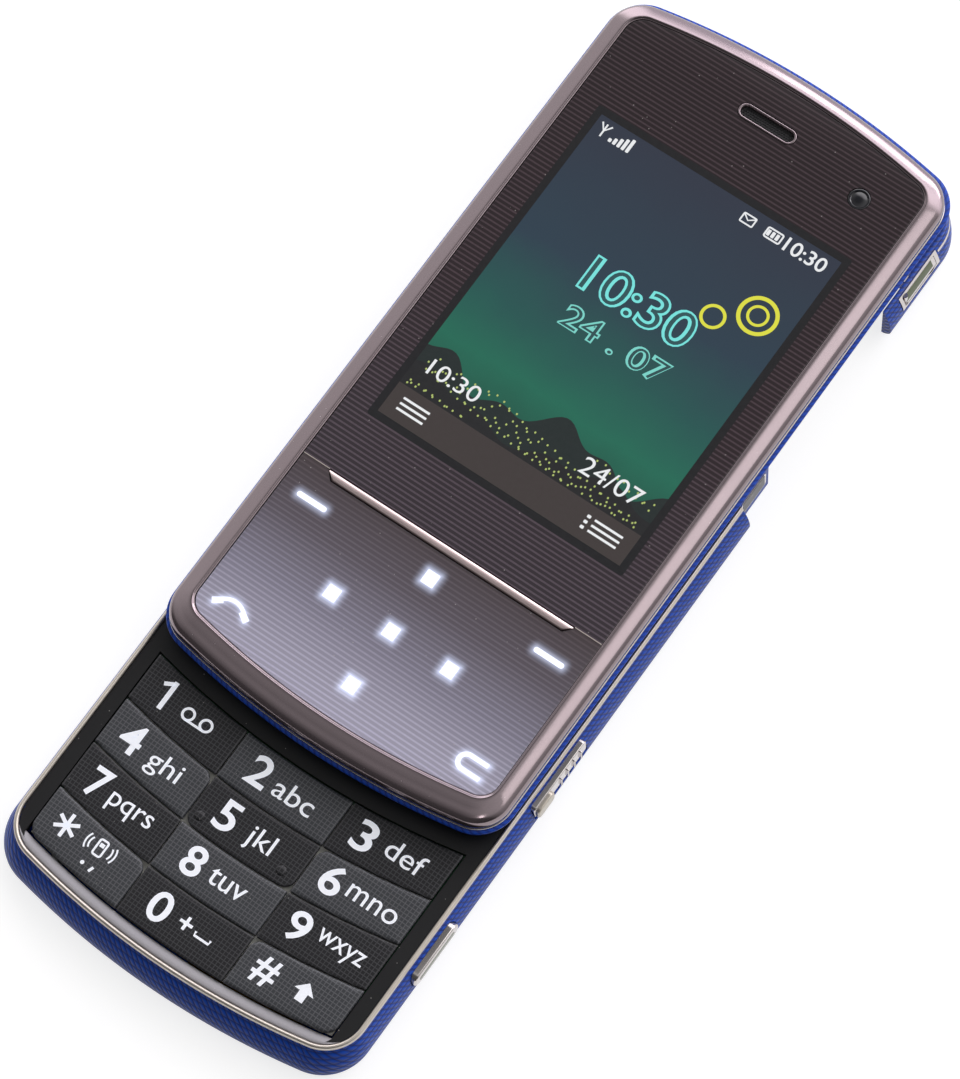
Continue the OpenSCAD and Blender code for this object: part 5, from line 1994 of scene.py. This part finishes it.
@dataclass
class Screen(Assembly):
    """The lit picture behind the window, and the lit marks on the touch panel."""

    sizes: UpperSizes
    letters: Lettering = field(default_factory=Lettering)

    def build(self) -> None:
        """Builds and dresses the picture and the marks."""
        self.picture()
        self.marks()

    def settle(
        self, name: str, parts: Sequence[Object], lift: float, colour: Colour, strength: float,
        slot: str = "display_face",
    ) -> None:
        """Lays a layer on the glass and lights it.

        Args:
            name: The layer's name.
            parts: Flat meshes, about the upper half's middle.
            lift: How far above the glass they lie.
            colour: Their display colour.
            strength: How bright they are.
            slot: The record's material slot.
        """
        obj = merged(name, parts)
        obj.data.transform(Matrix.Translation((0, self.sizes.middle * MM, 0)))
        obj = self.letters.lay(obj, self.sizes.glass, lift)
        self.place(obj, "upper_half", self.lit(name, colour, strength), slot)

    def lit(self, name: str, colour: Colour, strength: float) -> Material:
        """A glossy face that gives off its own light, a little unevenly.

        Args:
            name: The material's name.
            colour: Its display colour.
            strength: How bright it is.

        Returns:
            The material.
        """
        material, t, shader, place = self.painter.start(name)
        speckle = self.painter.group(t, self.painter.groups.grain, place, 1.4)
        dim = tuple(c * 0.82 for c in linear(colour))
        t.feed(shader.inputs["Emission Color"], t.mix(t.math("MULTIPLY", speckle, 0.5), linear(colour), dim))
        t.feed(shader.inputs["Base Color"], t.mix(speckle, (0.02, 0.02, 0.022), (0.03, 0.03, 0.032)))
        shader.inputs["Emission Strength"].default_value = strength
        self.painter.gloss(shader)
        return material

    def picture(self) -> None:
        """A plain evening picture: sky, hills with lights, digits and plain signs."""
        L = self.letters
        x0, x1, y0, y1 = -16.9, 17.2, -13.0, 32.7
        mid = ((x0 + x1) / 2, (y0 + y1) / 2)
        self.settle(
            "screen_border",
            [L.shape("b", moved(rounded_box(x1 - x0 + 1.9, y1 - y0 + 1.9, 0.4), *mid))],
            0.008,
            (14, 13, 15),
            0.0,
        )
        sky = L.shape("screen_picture", moved(rounded_box(x1 - x0, y1 - y0, 0.1, 2), *mid))
        sky.data.transform(Matrix.Translation((0, self.sizes.middle * MM, 0)))
        L.lay(sky, self.sizes.glass, 0.014)
        self.place(sky, "upper_half", self.sky(), "display_face")
        far = [
            (x, -3.6 + 1.5 * math.sin(x * 0.32 + 0.6) + 0.8 * math.sin(x * 0.83))
            for x in (x0 + (x1 - x0) * i / 60 for i in range(61))
        ]
        self.settle(
            "far_hills", [L.shape("h", [(x0, -8.6), (x1, -8.6), *reversed(far)])], 0.018, (24, 44, 40), 0.5
        )
        near = [
            (x, -6.6 + 1.1 * math.sin(x * 0.24 - 1.0) + 0.5 * math.sin(x * 0.71))
            for x in (x0 + (x1 - x0) * i / 60 for i in range(61))
        ]
        self.settle(
            "near_hills", [L.shape("h", [(x0, -9.6), (x1, -9.6), *reversed(near)])], 0.021, (26, 28, 27),
            0.5,
        )
        self.lights(x0, x1)
        self.settle(
            "foot_strip",
            [L.shape("f", [(x0, y0), (x1, y0), (x1, -8.6), (x0, -8.6)])],
            0.024,
            (60, 52, 49),
            0.9,
        )
        self.digits()
        self.icons()

    def lights(self, x0: float, x1: float) -> None:
        """Small lights on the hills, by Geometry Nodes.

        Args:
            x0: Left end.
            x1: Right end.
        """
        places = []
        for i in range(150):
            x = x0 + 0.8 + (x1 - x0 - 1.6) * ((i * 0.61803) % 1)
            y = -8.2 + 4.6 * ((i * 0.38197 + 0.3 * math.sin(i)) % 1) ** 1.6
            places.append((x, y + self.sizes.middle, 0.0))
        dot = self.letters.shape("dot", rounded_box(0.22, 0.26, 0.05, 1))
        dots = repeated("hill_lights", dot, places)
        self.letters.lay(dots, self.sizes.glass, 0.027)
        self.place(dots, "upper_half", self.lit("hill_lights", (196, 214, 120), 0.8), "display_face")

    def sky(self) -> Material:
        """The sky: slate blue above, a green glow low down.

        Returns:
            The material.
        """
        material, t, shader, place = self.painter.start("screen_sky")
        split = t.add("SeparateXYZ", place)
        y = t.math("SUBTRACT", split.outputs[1], self.sizes.middle)
        wave = self.painter.group(t, self.painter.groups.grain, place, 0.09)
        place_y = t.math("ADD", y, t.math("MULTIPLY", t.math("SUBTRACT", wave, 0.5), 6.0))
        share = t.add("MapRange", place_y, -9.0, 32.0, 0.0, 1.0).outputs[0]
        colour = t.ramp(
            share, (0.0, linear((30, 74, 62))), (0.2, linear((34, 104, 84))), (0.38, linear((36, 84, 80))),
            (0.6, linear((44, 62, 76))), (1.0, linear((48, 54, 68))),
        )
        t.feed(shader.inputs["Emission Color"], colour)
        t.feed(shader.inputs["Base Color"], t.mix(0.9, colour, (0.01, 0.01, 0.01)))
        shader.inputs["Emission Strength"].default_value = 0.95
        self.painter.gloss(shader)
        return material

    def digits(self) -> None:
        """The outlined clock and date, and the two small rows of digits."""
        L = self.letters
        clock, date = ("10:30", (0.6, 15.2)), ("24 . 07", (1.2, 9.3))
        for name, (line, middle), height, width, grow, lift, colour, strength in (
            ("clock_edge", clock, 5.0, 15.0, 0.035, 0.03, (120, 232, 226), 1.0),
            ("clock_fill", clock, 4.5, 14.5, -0.012, 0.034, (38, 84, 88), 0.9),
            ("date_edge", date, 3.2, 14.5, 0.035, 0.03, (130, 226, 214), 0.9),
            ("date_fill", date, 2.8, 14.1, -0.012, 0.034, (36, 78, 80), 0.9),
        ):
            self.settle(name, [L.word("w", line, middle, height, width, grow)], lift, colour, strength)
        small = [
            L.word("w", "10:30", (-11.6, -5.0), 2.1, 7.0, 0.0),
            L.word("w", "24/07", (10.6, -5.0), 2.3, 8.2, 0.0),
            L.word("w", "10:30", (13.2, 31.1), 1.9, 5.6, 0.012),
        ]
        self.settle("small_digits", small, 0.032, (240, 242, 244), 1.0)

    def icons(self) -> None:
        """Plain signs: signal bars, battery, rings, and a sign in each lower corner."""
        L = self.letters
        heights = [0.5 + i * 0.35 for i in range(5)]
        white = [
            L.shape("bar", moved(rounded_box(0.42, h, 0.08, 1), -14.2 + i * 0.62, 30.2 + h / 2))
            for i, h in enumerate(heights)
        ]
        white += [
            L.stroke("mast", [(-15.5, 30.2), (-15.5, 32.0)], 0.22),
            L.stroke("mast", [(-16.2, 32.0), (-15.5, 31.0), (-14.8, 32.0)], 0.22),
            L.stroke("cell", moved(rounded_box(2.1, 1.3, 0.2), 8.7, 31.1), 0.22, True),
        ]
        white += [
            L.shape("fill", moved(rounded_box(0.42, 0.8, 0.05, 1), 8.0 + i * 0.6, 31.1)) for i in range(3)
        ]
        white.append(L.stroke("note", moved(rounded_box(1.7, 1.2, 0.12), 5.1, 31.1), 0.2, True))
        white.append(L.stroke("note", [(4.3, 31.6), (5.1, 31.0), (5.9, 31.6)], 0.18))
        for i in range(3):
            white.append(L.stroke("row", [(-15.3, -10.0 - i * 0.75), (-11.6, -10.0 - i * 0.75)], 0.3))
            white.append(L.shape("dot", moved(rounded_box(0.5, 0.4, 0.1, 2), 10.9, -10.0 - i * 0.75)))
            white.append(L.stroke("row", [(11.7, -10.0 - i * 0.75), (15.6, -10.0 - i * 0.75)], 0.3))
        self.settle("white_signs", white, 0.032, (240, 242, 244), 1.0)
        rings = [
            L.stroke("ring", arc(12.9, 21.6, 2.3, 0, 352, 44), 0.5, True),
            L.stroke("ring", arc(12.9, 21.6, 1.2, 0, 350, 35), 0.35, True),
            L.stroke("ring", arc(8.6, 18.6, 1.4, 0, 350, 35), 0.4, True),
        ]
        self.settle("yellow_rings", rings, 0.03, (226, 226, 60), 1.0)

    def marks(self) -> None:
        """The lit squares, dashes and call signs on the touch panel."""
        L = self.letters
        parts = []
        for mark in MARKS:
            x, y, w, h = mark.x, mark.y, mark.width, mark.height
            if mark.sign is Sign.SQUARE:
                parts.append(L.shape("square", moved(rounded_box(w - 0.3, h - 0.3, 0.16, 3), x, y)))
            elif mark.sign is Sign.DASH:
                parts.append(L.shape("dash", moved(stadium(w, h), x, y)))
            elif mark.sign is Sign.ARCH:
                parts.append(L.stroke("arch", arc(x, y - 1.75, 2.25, 26, 154, 20), 0.5))
                for side in (-1, 1):
                    end = [(x + side * 1.3, y - 0.1), (x + side * 2.45, y - 0.85)]
                    parts.append(L.stroke("ear", end, 0.8))
            else:
                path = [
                    (x + w / 2, y + h / 2 - 0.3),
                    *arc(x - 0.6, y, h / 2 - 0.3, 90, 270, 16),
                    (x + w / 2, y - h / 2 + 0.3),
                ]
                parts.append(L.stroke("hook", path, 0.6))
        self.settle("touch_marks", parts, 0.02, (236, 240, 255), 1.4, "light_white")


# ---- Head ----


@dataclass
class HeadSizes:
    """Places in the head, with the slide open."""

    travel: float = 29.0
    wall_y: float = 74.65
    cheek_face: float = 23.7
    camera: Point2 = (-7.0, 80.75)
    flash: Point2 = (0.3, 80.75)
    jack: Point2 = (77.55, 3.9)


@dataclass
class Head(Assembly):
    """The full-depth head: its cap, the side door and the rear camera."""

    body: Body
    sizes: HeadSizes

    def build(self) -> None:
        """Builds and dresses the whole sub-assembly."""
        self.cap()
        self.door()
        self.camera()

    def cap(self) -> None:
        """The blue cap with its two cheeks."""
        b = self.body
        rings = b.skin(0.25, b.height, self.sizes.travel)
        for side, top, z in (
            (0.03, 0.33, 5.7), (0.1, 0.38, 5.95), (0.22, 0.47, 6.2), (0.37, 0.6, 6.35), (0.5, 0.7, 6.4)
        ):
            rings.append(ring_at(b.outline(b.side_lean + side, b.end_lean, top, self.sizes.travel), z))
        low, high = box_mm("head_cap")
        cap = make_object("cap", loft(rings))
        upper, s = UpperSizes(), self.sizes
        room = moved(upper.outer.inset(1.5).points(40, 10, 30), 0, upper.middle)
        cavity = clipped(room, s.wall_y + 1.2)
        door_low, door_high = box_mm("door_surround")
        gap = 0.06
        cap = carve(cap, [
            box_solid((-30, -60, -1), (30, low.y, 8)),
            box_solid((-s.cheek_face, -60, -1), (s.cheek_face, s.wall_y, 8)),
            plate(cavity, 1.45, 8),
            plate(arc(*s.camera, 4.36, 0, 354, 59), -1, 3),
            plate(arc(*s.flash, 1.66, 0, 350, 35), -1, 3),
            wall_cut((door_low.y - gap, door_low.z - gap), (door_high.y + gap, door_high.z + gap), 0.5, 21.6),
        ])
        self.place(cap, "upper_half", CASING, "casing_blue", "head_cap")

    def door(self) -> None:
        """The side door in its bright surround, both on the skin's curve, and above them a bright chrome
        strip that is a painted highlight on the cap's corner.
        """
        low, high = box_mm("door_surround")
        door_low, door_high = box_mm("side_door")
        opening = ((22.0, door_low.y - 0.15, 3.3), (28.0, door_high.y + 0.06, 5.0))
        jack = loft([[(x, y, z) for y, z in arc(*self.sizes.jack, 0.85, 0, 350, 35)] for x in (20, 27)])
        surround = self.patch("door_rim", 0.09, (22.8, low.y, 2.95), (28, high.y, 5.33))
        inner = box_solid((0, -60, 0), (self.sizes.cheek_face, self.sizes.wall_y, 6.4))
        surround = carve(surround, [box_solid((24.0, *opening[0][1:]), opening[1]), jack, inner], smooth=40)
        self.place(surround, "upper_half", CHROME, "chrome_trim", "door_surround")
        pivot = (door_low.x + 0.35, door_low.y + 0.35)
        barrel = make_object("barrel", plate(arc(*pivot, 0.35, 0, 345, 23), 3.36, 4.94))
        flap = self.patch("flap", 0.07, (24.09, pivot[1] - 0.05, 3.36), (28, door_high.y, 4.94))
        flap = merged("flap", [flap, barrel])
        shade(flap, 40)
        self.place(flap, "side_door", CHROME, "chrome_trim", "side_door")
        # The inlay's olive is a painted reflection of a green thing in the door's flat face.
        inlay = self.patch("flap_inlay", 0.1, (24.1, door_low.y + 0.25, 3.75), (28, door_high.y - 0.6, 4.86))
        self.place(inlay, "side_door", DOOR_PAINTED_REFLECTION, "door_olive")
        # Painted highlight: a chrome strip where the glossy cap's corner only catches a bright reflection.
        line = self.patch("corner_line", 0.04, (18, high.y + 0.3, 4.5), (28, 84.6, 4.85))
        self.place(line, "upper_half", CHROME, "chrome_trim")

    def patch(self, name: str, out: float, low: Point3, high: Point3) -> Object:
        """A piece of the head's skin, standing a little out of it.

        Args:
            name: The piece's name.
            out: How far it stands out.
            low: Lowest corner of the box that bounds it.
            high: Highest corner of that box.

        Returns:
            The piece, at its place.
        """
        skin = make_object(name, loft(self.body.skin(0.25, self.body.height, self.sizes.travel, out)))
        return carve(skin, [box_solid(low, high)], keep_common=True, smooth=40)

    def camera(self) -> None:
        """The rear camera's ring and lens, and the flash window."""
        ring = [
            (4.3, 1.45), (3.0, 1.45), (3.0, 0.62), (3.08, 0.42), (3.2, 0.33), (3.5, 0.3), (3.62, 0.34),
            (3.72, 0.29), (4.12, 0.28), (4.26, 0.33), (4.3, 0.42),
        ]
        rings = [ring_at(arc(*self.sizes.camera, r, 0, 355, 71), z) for r, z in ring]
        obj = make_object("camera_bezel", loft(rings, closed=True), smooth=40)
        recalc(obj)
        flash = [
            (1.6, 1.45), (1.6, 0.45), (1.55, 0.36), (1.45, 0.31), (1.2, 0.33), (1.1, 0.42), (0.6, 0.36),
            (0.1, 0.33),
        ]
        light = make_object(
            "flash", loft([ring_at(arc(*self.sizes.flash, r, 0, 350, 35), z) for r, z in flash]), smooth=40
        )
        recalc(light)
        both = merged("camera_bezel", [obj, light])
        shade(both, 40)
        self.place(both, "upper_half", CHROME, "chrome_trim", "camera_ring")
        glass = [
            (2.98, 1.2), (2.98, 0.62), (2.9, 0.55), (2.6, 0.6), (2.0, 0.66), (1.9, 0.62), (1.4, 0.56),
            (0.8, 0.52), (0.1, 0.5),
        ]
        lens = make_object(
            "camera_glass",
            loft([ring_at(arc(*self.sizes.camera, r, 0, 355, 71), z) for r, z in glass]),
            smooth=40,
        )
        recalc(lens)
        self.place(lens, "upper_half", LENS, "lens_glass", "camera_lens")


def clipped(points: Outline, low: float) -> Outline:
    """The part of an outline above a level.

    Args:
        points: The outline.
        low: The level's y.

    Returns:
        The clipped outline.
    """
    out: Outline = []
    for (ax, ay), (bx, by) in zip(points, [*points[1:], points[0]]):
        if ay >= low:
            out.append((ax, ay))
        if (ay - low) * (by - low) < 0:
            t = (low - ay) / (by - ay)
            out.append((ax + (bx - ax) * t, low))
    return out


# ---- Inside ----


INSIDE = {
    "keypad_bezel": BEZEL, "key_mat": RUBBER, "side_switches": SWITCH, "slide_rails": STEEL,
    "main_board": BOARD, "shield_cans": STEEL, "battery": BATTERY, "battery_contacts": GOLD,
    "sim_socket": STEEL, "sim_card": CARD, "memory_socket": STEEL, "memory_card": INNER,
    "loudspeaker": INNER, "vibration_motor": STEEL, "vibration_weight": BRASS, "microphone": STEEL,
    "antenna_strip": GOLD, "casing_screws": STEEL, "earpiece_speaker": INNER, "display_module": DISPLAY,
    "inner_tray": INNER, "light_guides": GUIDE, "slider_board": BOARD, "back_plate": STEEL,
    "slide_carriage": STEEL, "slide_spring": STEEL, "slider_screws": STEEL, "camera_module": INNER,
    "side_jack": INNER,
}


def dress_inside(painter: Painter, nodes: dict[str, Object]) -> None:
    """Gives each CAD node that stays its finish.

    Args:
        painter: Makes the materials.
        nodes: The CAD nodes by name.
    """
    for name, finish in INSIDE.items():
        obj = nodes[name]
        obj.data.materials.clear()
        obj.data.materials.append(painter.paint(finish))
        LOG.info("%s keeps its solid", name)


# ---- Studio ----


@dataclass(frozen=True)
class Softbox:
    """A soft lamp: its middle, where it faces, its size and its power."""

    name: str
    middle: Point3
    target: Point3
    size: Point2
    power: float
    colour: Colour = (1.0, 1.0, 1.0)


SOFTBOXES = (
    Softbox("key_light", (380, 260, 600), (0, 30, 0), (260, 260), 0.35, (1.0, 0.98, 0.97)),
    Softbox("crown_light", (60, 700, 300), (0, 60, 0), (500, 160), 1.2, (1.0, 0.97, 0.98)),
    Softbox("spark_light", (165, -165, 640), (0, 20, 0), (46, 46), 0.06, (1.0, 0.95, 0.95)),
)


@dataclass(frozen=True)
class View:
    """The photograph's camera, from a fit: place in millimetres, turn in degrees and lens."""

    place: Point3 = (138.6, -137.35, 560.73)
    turn: Point3 = (20.447, 2.321, 35.175)
    lens: float = 170.65
    sensor: float = 36.0


class Studio:
    """Floor, lamps, world and camera."""

    def build(self) -> None:
        """Sets the whole studio up."""
        self.floor()
        self.world()
        for box in SOFTBOXES:
            self.lamp(box)
        self.camera()
        bpy.context.scene.view_settings.view_transform = "Standard"

    @staticmethod
    def floor() -> None:
        """A plain pale floor that shows white to the camera and keeps a soft shadow."""
        mesh = bpy.data.meshes.new("floor")
        mesh.from_pydata([(-6, -6, 0), (6, -6, 0), (6, 6, 0), (-6, 6, 0)], [], [(0, 1, 2, 3)])
        obj = bpy.data.objects.new("floor", mesh)
        bpy.context.scene.collection.objects.link(obj)
        material = bpy.data.materials.new("floor_white")
        material.use_nodes = True
        t = Tree(material.node_tree)
        shader = material.node_tree.nodes["Principled BSDF"]
        path = t.add("LightPath")
        seen = t.math(
            "MAXIMUM",
            path.outputs["Is Camera Ray"],
            t.math("MAXIMUM", path.outputs["Is Glossy Ray"], path.outputs["Is Transmission Ray"]),
        )
        grain = t.add("TexNoise", None, None, 40.0)
        t.feed(
            shader.inputs["Base Color"],
            t.mix(t.math("MULTIPLY", grain.outputs[0], 0.1), (0.36, 0.36, 0.36), (0.33, 0.33, 0.33)),
        )
        shader.inputs["Roughness"].default_value = 0.8
        shader.inputs["Specular IOR Level"].default_value = 0.1
        t.feed(shader.inputs["Emission Color"], t.mix(seen, (0.0, 0.0, 0.0), (0.78, 0.78, 0.78)))
        shader.inputs["Emission Strength"].default_value = 1.0
        obj.data.materials.append(material)

    @staticmethod
    def world() -> None:
        """A soft world: brighter towards +Y, dimmer towards -Y, and white to the camera."""
        world = bpy.data.worlds.new("soft_world")
        bpy.context.scene.world = world
        world.use_nodes = True
        t = Tree(world.node_tree)
        back = world.node_tree.nodes["Background"]
        way = t.add("SeparateXYZ", t.add("TexCoord").outputs["Generated"])
        share = t.add("MapRange", way.outputs[1], -1.0, 1.0, 0.0, 1.0).outputs[0]
        colour = t.ramp(share, (0.0, (0.08,) * 3), (0.3, (0.1,) * 3), (0.5, (0.8,) * 3), (0.74, (1.0,) * 3),
                        (0.79, (3.2, 3.1, 3.2)), (0.88, (3.0, 2.9, 3.05)), (0.94, (1.2, 1.17, 1.28)),
                        (1.0, (1.1, 1.07, 1.18)))
        side = t.span(way.outputs[0], 0.2, 1.0, 1.0, 0.5)
        colour = t.mix(1.0, colour, t.add("CombineXYZ", side, side, side).outputs[0], "MULTIPLY")
        off = t.add(
            "VectorMath", t.add("TexCoord").outputs["Generated"], (-0.23, 0.3, 0.925),
            operation="DOT_PRODUCT",
        ).outputs["Value"]
        open_sky = t.span(off, 0.995, 0.86, 0.16, 1.0)
        colour = t.mix(1.0, colour, t.add("CombineXYZ", open_sky, open_sky, open_sky).outputs[0], "MULTIPLY")
        seen = t.add("LightPath").outputs["Is Camera Ray"]
        t.feed(back.inputs["Color"], t.mix(seen, colour, (1.0, 1.0, 1.0)))
        back.inputs["Strength"].default_value = 1.0

    @staticmethod
    def lamp(box: Softbox) -> None:
        """Places one soft lamp.

        Args:
            box: The lamp.
        """
        data = bpy.data.lights.new(box.name, "AREA")
        data.shape = "RECTANGLE"
        data.size, data.size_y = box.size[0] * MM, box.size[1] * MM
        data.energy = box.power
        data.color = box.colour
        obj = bpy.data.objects.new(box.name, data)
        obj.location = Vector(box.middle) * MM
        way = (Vector(box.target) - Vector(box.middle)).normalized()
        obj.rotation_euler = way.to_track_quat("-Z", "Y").to_euler()
        bpy.context.scene.collection.objects.link(obj)

    @staticmethod
    def camera() -> None:
        """The camera at the photograph's place."""
        data = bpy.data.cameras.new("camera")
        view = View()
        data.lens = view.lens
        data.sensor_width = view.sensor
        obj = bpy.data.objects.new("camera", data)
        obj.location = Vector(view.place) * MM
        obj.rotation_euler = tuple(math.radians(a) for a in view.turn)
        bpy.context.scene.collection.objects.link(obj)
        bpy.context.scene.camera = obj


# ---- The whole phone ----


def main() -> None:
    """Builds every sub-assembly in turn, dresses the CAD nodes that stay, and sets the studio up."""
    logging.basicConfig(level=logging.INFO, format="%(name)s: %(message)s")
    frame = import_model()
    painter = Painter()
    painter.paint(CHROME)
    body = Body()
    upper = UpperSizes()
    LowerHalf(painter, body, LowerSizes()).build()
    Keypad(painter, KeypadSizes(), body.end_radius).build()
    SideParts(painter).build()
    UpperHalf(painter, upper).build()
    Screen(painter, upper).build()
    Head(painter, body, HeadSizes()).build()
    dress_inside(painter, frame["nodes"])
    Studio().build()


if __name__ == "__main__":
    main()
